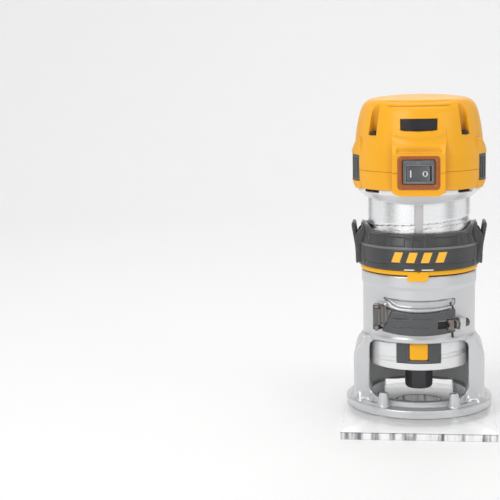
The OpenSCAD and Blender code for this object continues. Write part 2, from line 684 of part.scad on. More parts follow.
module control_board() color([0.1, 0.35, 0.2]) {
  translate([0, 0, 187]) cylinder(r = 30, h = 1.6);
  span([-20, -8, 188.5], [-6, 6, 198]);
  translate([8, -8, 188.5]) cylinder(r = 6, h = 14, $fn = 48);
  span([4, 8, 188.5], [22, 16, 194]);
}

module speed_dial() color(black) difference() {
  union() {
    translate([0, 38.6, 199]) rotate([-90, 0, 0]) cylinder(r = 7.9, h = 5);
    translate([0, 31, 199]) rotate([-90, 0, 0]) cylinder(r = 2, h = 8, $fn = 48);
  }
  for (a = [0:20:340]) translate([0, 0, 199]) rotate([0, a, 0]) translate([8.3, 38, 0]) rotate([-90, 0, 0])
    cylinder(r = 0.9, h = 8, $fn = 24);
  span([-0.5, 42.6, 201], [0.5, 45, 206]);
}

module cord_inlet() color(black) difference() {
  union() {
    translate([0, 38, 176]) rotate([-90, 0, 0]) cylinder(r = 7, h = 9, $fn = 64);
    translate([0, 45.5, 176]) rotate([-90, 0, 0]) cylinder(r = 8.6, h = 2.4, $fn = 64);
  }
  translate([0, 30, 176]) rotate([-90, 0, 0]) cylinder(r = 4.2, h = 20, $fn = 64);
}

base_casting();
guide_key();
sub_base();
sub_base_screws();
clamp_bracket();
clamp_pin();
clamp_lever();
clamp_screw();
clamp_barrel();
index_ring();
adjusting_ring();
ring_marks();
tab_pins();
tab_springs();
release_tab_left();
release_tab_right();
motor_housing();
nose_plate();
led_lights();
led_boards();
lock_frame();
lock_button();
lock_pin();
lock_spring();
lower_bearing_outer();
lower_bearing_balls();
lower_bearing_inner();
upper_bearing_outer();
upper_bearing_balls();
upper_bearing_inner();
spindle();
cooling_fan();
armature_core();
armature_windings();
commutator();
collet();
collet_nut();
stator_core();
field_coils();
bearing_bridge();
brush_holders();
carbon_brushes();
brush_springs();
lower_cover();
top_cover();
cover_screws();
rating_plate();
vent_grille_left();
vent_grille_right();
switch_bezel();
switch_body();
switch_rocker();
control_board();
speed_dial();
cord_inlet();
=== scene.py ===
import json
import math

import bmesh
import bpy
import numpy as np
from mathutils import Matrix, Vector

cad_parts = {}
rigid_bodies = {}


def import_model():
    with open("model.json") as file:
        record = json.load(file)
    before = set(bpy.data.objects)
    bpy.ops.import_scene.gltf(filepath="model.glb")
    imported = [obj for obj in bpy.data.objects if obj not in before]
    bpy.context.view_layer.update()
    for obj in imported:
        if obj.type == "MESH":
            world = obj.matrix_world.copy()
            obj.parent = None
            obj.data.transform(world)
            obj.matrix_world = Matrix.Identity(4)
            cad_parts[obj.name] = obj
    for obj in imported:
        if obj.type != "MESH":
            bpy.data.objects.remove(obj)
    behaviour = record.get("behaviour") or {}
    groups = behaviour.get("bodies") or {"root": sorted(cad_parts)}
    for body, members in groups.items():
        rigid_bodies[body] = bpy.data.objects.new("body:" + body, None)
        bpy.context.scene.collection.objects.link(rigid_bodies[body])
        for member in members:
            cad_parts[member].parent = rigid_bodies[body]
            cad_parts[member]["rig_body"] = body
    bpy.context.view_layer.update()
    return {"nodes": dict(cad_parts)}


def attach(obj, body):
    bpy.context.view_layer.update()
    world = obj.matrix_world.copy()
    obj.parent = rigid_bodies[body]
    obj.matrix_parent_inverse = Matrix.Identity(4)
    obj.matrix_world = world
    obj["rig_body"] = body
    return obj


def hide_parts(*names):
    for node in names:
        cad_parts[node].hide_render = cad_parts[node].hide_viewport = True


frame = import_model()
NODES = frame["nodes"]
MM = 0.001
rad = math.radians


# ------------------------------------------------------------------ small maths

def ss(x, a, b):
    t = np.clip((np.asarray(x, float) - a) / (b - a), 0, 1)
    return t * t * (3 - 2 * t)


def band(x, lo, hi, w=0.4):
    return ss(x, lo - w / 2, lo + w / 2) * (1 - ss(x, hi - w / 2, hi + w / 2))


def smax(a, b, k):
    h = np.clip(0.5 + 0.5 * (a - b) / k, 0, 1)
    return b * (1 - h) + a * h + k * h * (1 - h)


def smin(a, b, k):
    return -smax(-a, -b, k)


def wrap(a):
    return (np.asarray(a, float) + 180.0) % 360.0 - 180.0


def steps(*parts):
    """Sample points from (start, end, step) runs, merged and sorted."""
    out = []
    for a, b, s in parts:
        n = max(1, int(round((b - a) / s)))
        out += list(np.linspace(a, b, n + 1))
    out = np.array(sorted(out))
    keep = [out[0]]
    for v in out[1:]:
        if v - keep[-1] > 1e-4:
            keep.append(v)
    return np.array(keep)


def angles(fine, base=0.9):
    """Angles from -180 up to 180 with a fine step inside the given windows."""
    a, out = -180.0, []
    while a < 180.0 - 1e-6:
        out.append(a)
        s = base
        for lo, hi, st in fine:
            if lo <= a < hi:
                s = min(s, st)
            elif a < lo < a + s:
                s = min(s, lo - a)
        a += max(s, 0.02)
    return np.array(out)


def smooth_line(pts, n=12):
    """Catmull-Rom through the points, as a dense polyline."""
    p = np.array(pts, float)
    p = np.vstack([2 * p[0] - p[1], p, 2 * p[-1] - p[-2]])
    out = []
    for i in range(1, len(p) - 2):
        for k in range(n):
            t = k / n
            a, b, c, d = p[i - 1], p[i], p[i + 1], p[i + 2]
            out.append(0.5 * (2 * b + (c - a) * t + (2 * a - 5 * b + 4 * c - d) * t * t + (3 * b - a - 3 * c + d) * t ** 3))
    out.append(p[-2])
    return np.array(out)


def resample(line, step, extra_z=()):
    line = np.array(line, float)
    seg = np.r_[0, np.cumsum(np.linalg.norm(np.diff(line, axis=0), axis=1))]
    s = np.linspace(0, seg[-1], max(2, int(seg[-1] / step) + 1))
    s = list(s)
    for z in extra_z:
        k = np.where((line[:-1, 1] - z) * (line[1:, 1] - z) <= 0)[0]
        for i in k[:1]:
            d = line[i + 1, 1] - line[i, 1]
            t = 0 if abs(d) < 1e-9 else (z - line[i, 1]) / d
            s.append(seg[i] + t * (seg[i + 1] - seg[i]))
    s = np.array(sorted(set(np.round(s, 5))))
    return np.stack([np.interp(s, seg, line[:, 0]), np.interp(s, seg, line[:, 1])], 1)


# ------------------------------------------------------------------ mesh builders

def build(name, V, F, idx=None):
    V = np.ascontiguousarray(np.asarray(V, np.float32) * MM)
    me = bpy.data.meshes.new(name)
    me.vertices.add(len(V))
    me.vertices.foreach_set("co", V.ravel())
    loops = np.concatenate([np.asarray(f, np.int32).ravel() for f in F])
    counts = np.concatenate([np.full(len(f), np.asarray(f).shape[1], np.int32) for f in F])
    starts = np.r_[0, np.cumsum(counts)[:-1]].astype(np.int32)
    me.loops.add(len(loops))
    me.loops.foreach_set("vertex_index", loops)
    me.polygons.add(len(counts))
    me.polygons.foreach_set("loop_start", starts)
    if idx is not None:
        me.polygons.foreach_set("material_index", np.asarray(idx, np.int32))
    me.update(calc_edges=True)
    me.validate()
    return me


def shade(me, angle=35):
    me.polygons.foreach_set("use_smooth", np.ones(len(me.polygons), bool))
    me.set_sharp_from_angle(angle=rad(angle))
    me.update()


def put(name, me, mats, body, nodes=(), angle=35):
    for m in (mats if isinstance(mats, (list, tuple)) else [mats]):
        me.materials.append(m)
    shade(me, angle)
    ob = bpy.data.objects.new(name, me)
    bpy.context.scene.collection.objects.link(ob)
    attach(ob, body)
    if nodes:
        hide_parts(*nodes)
    return ob


def field(name, th, R, Z, mask=None, pole0=False, pole1=False, loop=False):
    """Closed-round grid. th: angles from the front in degrees, towards +X. R, Z: rows by angles."""
    N, M = R.shape
    t = np.radians(th)[None, :]
    V = np.stack([R * np.sin(t), -R * np.cos(t), Z], -1).reshape(-1, 3)
    i = np.arange(N if loop else N - 1)[:, None]
    j = np.arange(M)[None, :]
    jn, inn = (j + 1) % M, (i + 1) % N
    quads = np.stack([i * M + j, i * M + jn, inn * M + jn, inn * M + j], -1).reshape(-1, 4)
    F = [quads]
    idx = None
    if mask is not None:
        c = (mask[np.ix_((i % N).ravel(), j.ravel())] + mask[np.ix_((i % N).ravel(), jn.ravel())]
             + mask[np.ix_(inn.ravel(), jn.ravel())] + mask[np.ix_(inn.ravel(), j.ravel())]) / 4
        idx = (c.reshape(-1) > 0.5).astype(np.int32)
    extra = []
    if pole1:
        V = np.vstack([V, [[0, 0, Z[-1].mean()]]])
        k = (N - 1) * M
        extra.append(np.stack([k + j.ravel(), k + jn.ravel(), np.full(M, len(V) - 1)], -1))
    if pole0:
        V = np.vstack([V, [[0, 0, Z[0].mean()]]])
        extra.append(np.stack([jn.ravel(), j.ravel(), np.full(M, len(V) - 1)], -1))
    for e in extra:
        F.append(e)
        if idx is not None:
            idx = np.r_[idx, np.zeros(len(e), np.int32)]
    return build(name, V, F, idx)


def slab(name, us, vs, keep, outer, inner, idx_outer=None):
    """Solid from a grid of cells: outer and inner give points (N,3) for (u, v) arrays."""
    us, vs = np.asarray(us, float), np.asarray(vs, float)
    U, W = np.meshgrid(us, vs, indexing="ij")
    A = outer(U.ravel(), W.ravel())
    B = inner(U.ravel(), W.ravel())
    nu, nv = len(us), len(vs)
    n = nu * nv
    V = np.vstack([A, B])
    cu, cv = (us[:-1] + us[1:]) / 2, (vs[:-1] + vs[1:]) / 2
    CU, CV = np.meshgrid(cu, cv, indexing="ij")
    K = keep(CU, CV).astype(bool)
    q, w = [], []
    for i in range(nu - 1):
        for j in range(nv - 1):
            if not K[i, j]:
                continue
            a, b, c, d = i * nv + j, (i + 1) * nv + j, (i + 1) * nv + j + 1, i * nv + j + 1
            q.append((a, b, c, d))
            w.append((n + d, n + c, n + b, n + a))
            if i == 0 or not K[i - 1, j]:
                w.append((n + a, a, d, n + d))
            if i == nu - 2 or not K[i + 1, j]:
                w.append((b, n + b, n + c, c))
            if j == 0 or not K[i, j - 1]:
                w.append((a, n + a, n + b, b))
            if j == nv - 2 or not K[i, j + 1]:
                w.append((d, c, n + c, n + d))
    me = build(name, V, [np.array(q + w, np.int32)])
    bm = bmesh.new()
    bm.from_mesh(me)
    loose = [v for v in bm.verts if not v.link_faces]
    bmesh.ops.delete(bm, geom=loose, context="VERTS")
    bmesh.ops.recalc_face_normals(bm, faces=bm.faces)
    bm.to_mesh(me)
    bm.free()
    return me


def arc_pt(r, deg, z):
    t = np.radians(deg)
    return np.stack([r * np.sin(t), -r * np.cos(t), z], -1)


def prism(name, pts, axis, lo, hi, subdiv=1):
    """Extruded outline. pts in mm. axis 'y': pts are (x, z); 'z': (x, y); 'x': (y, z)."""
    p = np.array(pts, float)
    for _ in range(subdiv):
        q = []
        for i in range(len(p)):
            a, b = p[i], p[(i + 1) % len(p)]
            q += [a * 0.75 + b * 0.25, a * 0.25 + b * 0.75]
        p = np.array(q)
    n = len(p)

    def at(k):
        if axis == "y":
            return np.stack([p[:, 0], np.full(n, k), p[:, 1]], 1)
        if axis == "x":
            return np.stack([np.full(n, k), p[:, 0], p[:, 1]], 1)
        return np.stack([p[:, 0], p[:, 1], np.full(n, k)], 1)

    V = np.vstack([at(lo), at(hi)]) * MM
    me = bpy.data.meshes.new(name)
    faces = [tuple(range(n))[::-1], tuple(range(n, 2 * n))]
    faces += [(i, (i + 1) % n, n + (i + 1) % n, n + i) for i in range(n)]
    me.from_pydata([tuple(v) for v in V], [], faces)
    bm = bmesh.new()
    bm.from_mesh(me)
    bmesh.ops.recalc_face_normals(bm, faces=bm.faces)
    bm.to_mesh(me)
    bm.free()
    return me


def cyl(name, r, a, b, n=48, r2=None):
    """Cylinder or cone between two points in mm."""
    a, b = Vector(a) * MM, Vector(b) * MM
    bm = bmesh.new()
    bmesh.ops.create_cone(bm, cap_ends=True, segments=n, radius1=r * MM,
                          radius2=(r if r2 is None else r2) * MM, depth=(b - a).length)
    m = (b - a).to_track_quat("Z", "Y").to_matrix().to_4x4()
    m.translation = (a + b) / 2
    bmesh.ops.transform(bm, matrix=m, verts=bm.verts)
    me = bpy.data.meshes.new(name)
    bm.to_mesh(me)
    bm.free()
    return me


def join(name, *meshes):
    bm = bmesh.new()
    for m in meshes:
        bm.from_mesh(m)
    me = bpy.data.meshes.new(name)
    bm.to_mesh(me)
    bm.free()
    return me


def through(me, *mods):
    """The mesh with modifiers applied. mods: (type, {settings})."""
    ob = bpy.data.objects.new("tmp", me)
    bpy.context.scene.collection.objects.link(ob)
    for kind, props in mods:
        m = ob.modifiers.new(kind, kind)
        for k, v in props.items():
            setattr(m, k, v)
    dg = bpy.context.evaluated_depsgraph_get()
    out = bpy.data.meshes.new_from_object(ob.evaluated_get(dg), preserve_all_data_layers=True, depsgraph=dg)
    bpy.data.objects.remove(ob)
    out.name = me.name
    return out


def bevel(me, w, segs=2, angle=30):
    return through(me, ("BEVEL", {"width": w * MM, "segments": segs, "limit_method": "ANGLE",
                                  "angle_limit": rad(angle), "use_clamp_overlap": True, "miter_outer": "MITER_ARC"}))


def cad_mesh(node, dissolve=1.2):
    bm = bmesh.new()
    bm.from_mesh(NODES[node].data)
    bmesh.ops.remove_doubles(bm, verts=bm.verts, dist=3e-6)
    if dissolve:
        bmesh.ops.dissolve_limit(bm, angle_limit=rad(dissolve), verts=bm.verts, edges=bm.edges)
    me = bpy.data.meshes.new(node + "_look")
    bm.to_mesh(me)
    bm.free()
    return me


def round_copy(node, w, mat, segs=2, angle=30, dissolve=1.2):
    me = bevel(cad_mesh(node, dissolve), w, segs, angle)
    me.materials.clear()
    return put(node + "_look", me, mat, NODES[node]["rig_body"], [node], 40)


# ------------------------------------------------------------------ materials

def material(name, base, rough=0.5, metal=0.0, spec=0.5, grain=(900, 0.15, 0.05), rvar=0.08, cvar=0.05,
             edge_wear_and_highlight=None, brush=None, coat=0.0, coat_rough=0.1, sheen=0.0, trans=0.0, ior=1.5, occlusion_shade=None):
    """Procedural finish. grain: (noise scale per metre, bump strength, bump distance in mm)."""
    m = bpy.data.materials.new(name)
    m.use_nodes = True
    nt = m.node_tree
    n, l = nt.nodes, nt.links
    b = n["Principled BSDF"]
    b.inputs["Metallic"].default_value = metal
    b.inputs["Specular IOR Level"].default_value = spec
    b.inputs["IOR"].default_value = ior
    b.inputs["Coat Weight"].default_value = coat
    b.inputs["Coat Roughness"].default_value = coat_rough
    b.inputs["Transmission Weight"].default_value = trans
    tc = n.new("ShaderNodeTexCoord")
    big = n.new("ShaderNodeTexNoise")
    big.inputs["Scale"].default_value = 55
    big.inputs["Detail"].default_value = 4
    l.new(tc.outputs["Object"], big.inputs["Vector"])
    fine = n.new("ShaderNodeTexNoise")
    fine.inputs["Scale"].default_value = grain[0]
    fine.inputs["Detail"].default_value = 3
    fine.inputs["Roughness"].default_value = 0.6
    l.new(tc.outputs["Object"], fine.inputs["Vector"])
    # colour variation
    mix = n.new("ShaderNodeMix")
    mix.data_type = "RGBA"
    mix.inputs["A"].default_value = (*[max(0, c * (1 - cvar)) for c in base], 1)
    mix.inputs["B"].default_value = (*[min(1, c * (1 + cvar)) for c in base], 1)
    l.new(big.outputs["Fac"], mix.inputs["Factor"])
    colour = mix.outputs["Result"]
    # lighter colour on convex edges, driven by pointiness: partly real edge wear, partly painted highlight
    if edge_wear_and_highlight:
        geo = n.new("ShaderNodeNewGeometry")
        ramp = n.new("ShaderNodeMapRange")
        ramp.inputs["From Min"].default_value = edge_wear_and_highlight[1]
        ramp.inputs["From Max"].default_value = edge_wear_and_highlight[2]
        ramp.inputs["To Min"].default_value = 0
        ramp.inputs["To Max"].default_value = edge_wear_and_highlight[3]
        l.new(geo.outputs["Pointiness"], ramp.inputs["Value"])
        mx = n.new("ShaderNodeMix")
        mx.data_type = "RGBA"
        l.new(ramp.outputs["Result"], mx.inputs["Factor"])
        l.new(colour, mx.inputs["A"])
        mx.inputs["B"].default_value = (*edge_wear_and_highlight[0], 1)
        colour = mx.outputs["Result"]
    # darker colour where ambient occlusion finds nearby surfaces: painted shade in recesses, creases and between parts
    if occlusion_shade:
        ao = n.new("ShaderNodeAmbientOcclusion")
        ao.samples = 4
        ao.inputs["Distance"].default_value = occlusion_shade[1] * MM
        inv = n.new("ShaderNodeMapRange")
        inv.inputs["From Min"].default_value = 0.25
        inv.inputs["From Max"].default_value = 0.95
        inv.inputs["To Min"].default_value = occlusion_shade[2]
        inv.inputs["To Max"].default_value = 0
        l.new(ao.outputs["AO"], inv.inputs["Value"])
        mx = n.new("ShaderNodeMix")
        mx.data_type = "RGBA"
        l.new(inv.outputs["Result"], mx.inputs["Factor"])
        l.new(colour, mx.inputs["A"])
        mx.inputs["B"].default_value = (*occlusion_shade[0], 1)
        colour = mx.outputs["Result"]
    l.new(colour, b.inputs["Base Color"])
    # roughness variation
    mr = n.new("ShaderNodeMapRange")
    mr.inputs["To Min"].default_value = max(0.02, rough - rvar)
    mr.inputs["To Max"].default_value = min(1, rough + rvar)
    l.new(fine.outputs["Fac"], mr.inputs["Value"])
    l.new(mr.outputs["Result"], b.inputs["Roughness"])
    # relief
    height = fine.outputs["Fac"]
    if brush:
        mp = n.new("ShaderNodeMapping")
        mp.inputs["Scale"].default_value = brush[0]
        l.new(tc.outputs["Object"], mp.inputs["Vector"])
        line = n.new("ShaderNodeTexNoise")
        line.inputs["Scale"].default_value = brush[1]
        line.inputs["Detail"].default_value = 2
        l.new(mp.outputs["Vector"], line.inputs["Vector"])
        add = n.new("ShaderNodeMath")
        add.operation = "MULTIPLY_ADD"
        l.new(line.outputs["Fac"], add.inputs[0])
        add.inputs[1].default_value = brush[2]
        l.new(fine.outputs["Fac"], add.inputs[2])
        height = add.outputs["Value"]
    bp = n.new("ShaderNodeBump")
    bp.inputs["Strength"].default_value = grain[1]
    bp.inputs["Distance"].default_value = grain[2] * MM
    l.new(height, bp.inputs["Height"])
    l.new(bp.outputs["Normal"], b.inputs["Normal"])
    if coat:
        l.new(bp.outputs["Normal"], b.inputs["Coat Normal"])
    return m


M = {}
M["cast"] = material("cast_aluminium", (0.635, 0.64, 0.65), 0.33, 0.76, grain=(1300, 0.30, 0.09), rvar=0.07, cvar=0.035,
                     edge_wear_and_highlight=((0.82, 0.83, 0.84), 0.53, 0.60, 0.55), occlusion_shade=((0.26, 0.26, 0.27), 8, 0.45))
# darker copy of the casting finish for the front sill slope: painted shade
M["cast_shaded_step"] = material("cast_shaded_step", (0.47, 0.475, 0.48), 0.40, 0.6, grain=(1300, 0.30, 0.09), rvar=0.07, cvar=0.035)
# matte, less metallic copy of the can finish for the lower can: painted light, so it reads evenly lit instead of
# mirroring the dark bore
M["sleeve"] = material("turned_sleeve", (0.80, 0.805, 0.81), 0.30, 0.35, grain=(1800, 0.06, 0.02), rvar=0.05, cvar=0.02,
                       occlusion_shade=((0.35, 0.35, 0.36), 2.5, 0.5))
# lighter, near-matte copy of the casting finish for the inward bore faces: painted light in the shaded bore
M["cast_in"] = material("cast_bore_lit", (0.86, 0.865, 0.87), 0.5, 0.1, grain=(1300, 0.30, 0.09), rvar=0.07, cvar=0.035)
M["gunmetal"] = material("gunmetal", (0.20, 0.18, 0.165), 0.30, 0.85, grain=(1900, 0.2, 0.04), rvar=0.1, cvar=0.12,
                        edge_wear_and_highlight=((0.55, 0.52, 0.49), 0.53, 0.62, 0.6))
# darker, less polished copy of the can finish for the groove: painted shade in the recess
M["keyway_shade"] = material("keyway_shade", (0.60, 0.58, 0.59), 0.42, 0.7, grain=(1500, 0.15, 0.04), rvar=0.06, cvar=0.04)
# lighter grey for the thin frame round the rocker: painted highlight along its edges
M["rim"] = material("switch_rim", (0.34, 0.35, 0.36), 0.28, 0, grain=(1500, 0.15, 0.04), rvar=0.06, cvar=0.08)
M["can"] = material("polished_can", (0.87, 0.875, 0.885), 0.27, 1.0, grain=(1800, 0.06, 0.02), rvar=0.05, cvar=0.02,
                    brush=((1, 1, 60), 60, 3.0), occlusion_shade=((0.35, 0.35, 0.36), 2.5, 0.5))
M["bowl"] = material("die_cast_shoulder", (0.80, 0.805, 0.815), 0.34, 0.45, grain=(1500, 0.18, 0.05), rvar=0.06, cvar=0.03,
                     occlusion_shade=((0.45, 0.45, 0.46), 3, 0.5))
M["yellow"] = material("yellow_moulding", (0.885, 0.41, 0.009), 0.36, 0, spec=0.32, grain=(1500, 0.14, 0.05), rvar=0.06, cvar=0.035,
                       coat=0.15, coat_rough=0.25, occlusion_shade=((0.36, 0.085, 0.006), 7, 0.85))
M["yellow2"] = material("yellow_button", (0.95, 0.46, 0.012), 0.38, 0, spec=0.3, grain=(1500, 0.12, 0.05), rvar=0.06, cvar=0.03)
M["print"] = material("yellow_print", (0.93, 0.50, 0.03), 0.5, 0, grain=(2500, 0.12, 0.03), rvar=0.06, cvar=0.04)
M["white"] = material("white_print", (0.80, 0.80, 0.80), 0.5, 0, grain=(2500, 0.12, 0.03), rvar=0.06, cvar=0.04)
M["black"] = material("black_moulding", (0.050, 0.051, 0.054), 0.46, 0, grain=(1700, 0.35, 0.08), rvar=0.09, cvar=0.12,
                      edge_wear_and_highlight=((0.17, 0.17, 0.175), 0.53, 0.62, 0.6))
M["ring"] = material("ring_moulding", (0.048, 0.049, 0.051), 0.34, 0, grain=(1700, 0.28, 0.07), rvar=0.09, cvar=0.12,
                     edge_wear_and_highlight=((0.22, 0.22, 0.225), 0.525, 0.60, 0.7))
M["lever"] = material("lever_enamel", (0.082, 0.084, 0.087), 0.42, 0.0, grain=(1500, 0.22, 0.06), rvar=0.08, cvar=0.08,
                      edge_wear_and_highlight=((0.25, 0.25, 0.255), 0.53, 0.60, 0.6), occlusion_shade=((0.02, 0.02, 0.02), 2.0, 0.7))
M["dark"] = material("dark_grey_moulding", (0.075, 0.077, 0.080), 0.48, 0, grain=(1700, 0.3, 0.07), rvar=0.08, cvar=0.1,
                     edge_wear_and_highlight=((0.17, 0.17, 0.18), 0.53, 0.62, 0.5))
M["inside"] = material("shadowed_inside", (0.020, 0.020, 0.021), 0.7, 0, grain=(1200, 0.2, 0.06), rvar=0.05, cvar=0.1)
M["slot"] = material("dark_gap", (0.05, 0.05, 0.052), 0.6, 0, grain=(1200, 0.2, 0.06), rvar=0.05, cvar=0.1)
M["steel"] = material("zinc_steel", (0.60, 0.61, 0.63), 0.28, 1.0, grain=(2200, 0.12, 0.03), rvar=0.08, cvar=0.05,
                      brush=((1, 1, 25), 90, 1.5))
M["black_steel"] = material("black_oxide", (0.100, 0.101, 0.105), 0.40, 0.3, grain=(1900, 0.2, 0.04), rvar=0.09, cvar=0.1,
                            edge_wear_and_highlight=((0.22, 0.22, 0.23), 0.54, 0.64, 0.6))
M["bronze"] = material("bronzed_steel", (0.115, 0.095, 0.082), 0.36, 0.7, grain=(1900, 0.25, 0.05), rvar=0.1, cvar=0.18,
                       edge_wear_and_highlight=((0.26, 0.23, 0.21), 0.53, 0.62, 0.7))
M["bronze_light"] = material("bronzed_barrel", (0.22, 0.185, 0.16), 0.34, 0.6, grain=(1900, 0.2, 0.04), rvar=0.1, cvar=0.15,
                             brush=((1, 1, 25), 90, 1.0))
M["lamination"] = material("laminations", (0.30, 0.30, 0.32), 0.45, 0.8, grain=(1400, 0.15, 0.04), rvar=0.08, cvar=0.08,
                           brush=((0.1, 0.1, 40), 50, 4.0))
M["copper"] = material("enamelled_copper", (0.62, 0.26, 0.09), 0.30, 0.8, grain=(1500, 0.3, 0.08), rvar=0.1, cvar=0.15,
                       brush=((12, 12, 1), 60, 2.0), coat=0.4)
M["brass"] = material("brass", (0.62, 0.45, 0.18), 0.32, 1.0, grain=(1500, 0.15, 0.04), rvar=0.08, cvar=0.08)
M["carbon"] = material("carbon", (0.03, 0.03, 0.032), 0.65, 0.1, grain=(2200, 0.4, 0.06), rvar=0.1, cvar=0.2)
def clear_sheet():
    m = material("clear_polycarbonate", (0.96, 0.965, 0.97), 0.10, 0, grain=(300, 0.03, 0.02), rvar=0.02, cvar=0.02, spec=0.5)
    n, l = m.node_tree.nodes, m.node_tree.links
    b = n["Principled BSDF"]
    tc = n.new("ShaderNodeTexCoord")
    no = n.new("ShaderNodeTexNoise")
    no.inputs["Scale"].default_value = 40
    mr = n.new("ShaderNodeMapRange")
    mr.inputs["To Min"].default_value = 0.50
    mr.inputs["To Max"].default_value = 0.58
    l.new(tc.outputs["Object"], no.inputs["Vector"])
    l.new(no.outputs["Fac"], mr.inputs["Value"])
    l.new(mr.outputs["Result"], b.inputs["Alpha"])
    return m


def clear_rim():
    """Edge of the clear sheet: painted bright and dark streaks standing in for refraction, painted dark lines at both
    arrises.
    """
    m = bpy.data.materials.new("clear_edge")
    m.use_nodes = True
    n, l = m.node_tree.nodes, m.node_tree.links
    b = n["Principled BSDF"]
    b.inputs["Roughness"].default_value = 0.12
    b.inputs["IOR"].default_value = 1.5
    tc = n.new("ShaderNodeTexCoord")
    mp = n.new("ShaderNodeMapping")
    mp.inputs["Scale"].default_value = (170, 170, 22)
    no = n.new("ShaderNodeTexNoise")
    no.inputs["Scale"].default_value = 1.0
    no.inputs["Detail"].default_value = 3
    no.inputs["Roughness"].default_value = 0.6
    ramp = n.new("ShaderNodeValToRGB")
    ramp.color_ramp.elements[0].position = 0.34
    ramp.color_ramp.elements[0].color = (0.10, 0.10, 0.105, 1)
    ramp.color_ramp.elements[1].position = 0.60
    ramp.color_ramp.elements[1].color = (0.93, 0.93, 0.94, 1)
    e = ramp.color_ramp.elements.new(0.43)
    e.color = (0.42, 0.42, 0.43, 1)
    e = ramp.color_ramp.elements.new(0.50)
    e.color = (0.80, 0.80, 0.81, 1)
    l.new(tc.outputs["Object"], mp.inputs["Vector"])
    l.new(mp.outputs["Vector"], no.inputs["Vector"])
    l.new(no.outputs["Fac"], ramp.inputs["Fac"])
    sx = n.new("ShaderNodeSeparateXYZ")
    l.new(tc.outputs["Object"], sx.inputs["Vector"])
    line = n.new("ShaderNodeValToRGB")
    line.color_ramp.elements[0].position = 0.0
    line.color_ramp.elements[0].color = (0.45, 0.45, 0.45, 1)
    line.color_ramp.elements[1].position = 1.0
    line.color_ramp.elements[1].color = (0.35, 0.35, 0.35, 1)
    for pos, v in ((0.10, 1.0), (0.82, 1.0), (0.92, 0.40)):
        e = line.color_ramp.elements.new(pos)
        e.color = (v, v, v, 1)
    zz = n.new("ShaderNodeMath")
    zz.operation = "MULTIPLY"
    zz.inputs[1].default_value = 200.0
    l.new(sx.outputs["Z"], zz.inputs[0])
    l.new(zz.outputs["Value"], line.inputs["Fac"])
    mul = n.new("ShaderNodeMix")
    mul.data_type = "RGBA"
    mul.blend_type = "MULTIPLY"
    mul.inputs[0].default_value = 1.0
    l.new(ramp.outputs["Color"], mul.inputs[6])
    l.new(line.outputs["Color"], mul.inputs[7])
    # only the front edge and the hole get the painted refraction streaks, the other edges stay pale
    fr = n.new("ShaderNodeMath")
    fr.operation = "LESS_THAN"
    fr.inputs[1].default_value = -0.0802
    l.new(sx.outputs["Y"], fr.inputs[0])
    ln = n.new("ShaderNodeVectorMath")
    ln.operation = "LENGTH"
    flat = n.new("ShaderNodeCombineXYZ")
    l.new(sx.outputs["X"], flat.inputs["X"])
    l.new(sx.outputs["Y"], flat.inputs["Y"])
    l.new(flat.outputs["Vector"], ln.inputs[0])
    ho = n.new("ShaderNodeMath")
    ho.operation = "LESS_THAN"
    ho.inputs[1].default_value = 0.018
    l.new(ln.outputs["Value"], ho.inputs[0])
    mx = n.new("ShaderNodeMath")
    mx.operation = "MAXIMUM"
    l.new(fr.outputs["Value"], mx.inputs[0])
    l.new(ho.outputs["Value"], mx.inputs[1])
    mix = n.new("ShaderNodeMix")
    mix.data_type = "RGBA"
    mix.inputs[6].default_value = (0.80, 0.805, 0.81, 1)
    l.new(mx.outputs["Value"], mix.inputs[0])
    l.new(mul.outputs[2], mix.inputs[7])
    l.new(mix.outputs[2], b.inputs["Base Color"])
    al = n.new("ShaderNodeMapRange")
    al.inputs["To Min"].default_value = 0.40
    al.inputs["To Max"].default_value = 0.88
    l.new(mx.outputs["Value"], al.inputs["Value"])
    l.new(al.outputs["Result"], b.inputs["Alpha"])
    bp = n.new("ShaderNodeBump")
    bp.inputs["Strength"].default_value = 0.15
    bp.inputs["Distance"].default_value = 0.00005
    l.new(no.outputs["Fac"], bp.inputs["Height"])
    l.new(bp.outputs["Normal"], b.inputs["Normal"])
    return m


M["clear"] = clear_sheet()
M["clear_edge"] = clear_rim()
M["amber"] = material("amber_seal", (0.33, 0.085, 0.009), 0.26, 0, spec=0.35, grain=(1200, 0.12, 0.04), rvar=0.07, cvar=0.15,
                      coat=0.5, coat_rough=0.15, edge_wear_and_highlight=((0.62, 0.24, 0.05), 0.53, 0.62, 0.5))
M["switch"] = material("switch_moulding", (0.085, 0.090, 0.098), 0.36, 0, grain=(1500, 0.2, 0.05), rvar=0.07, cvar=0.1,
                       edge_wear_and_highlight=((0.30, 0.31, 0.32), 0.53, 0.62, 0.6))
M["plate"] = material("label_plate", (0.012, 0.010, 0.015), 0.38, 0, spec=0.3, grain=(1500, 0.08, 0.03), rvar=0.06, cvar=0.15,
                      coat=0.3, coat_rough=0.12)
M["board"] = material("solder_resist", (0.03, 0.16, 0.07), 0.35, 0, grain=(900, 0.25, 0.06), rvar=0.08, cvar=0.2)
M["lamp"] = material("lamp_lens", (0.93, 0.94, 0.90), 0.12, 0, grain=(700, 0.1, 0.04), rvar=0.05, cvar=0.03, trans=0.7)
M["rubber"] = material("cord_grommet", (0.035, 0.035, 0.037), 0.62, 0, grain=(1400, 0.35, 0.08), rvar=0.08, cvar=0.12)

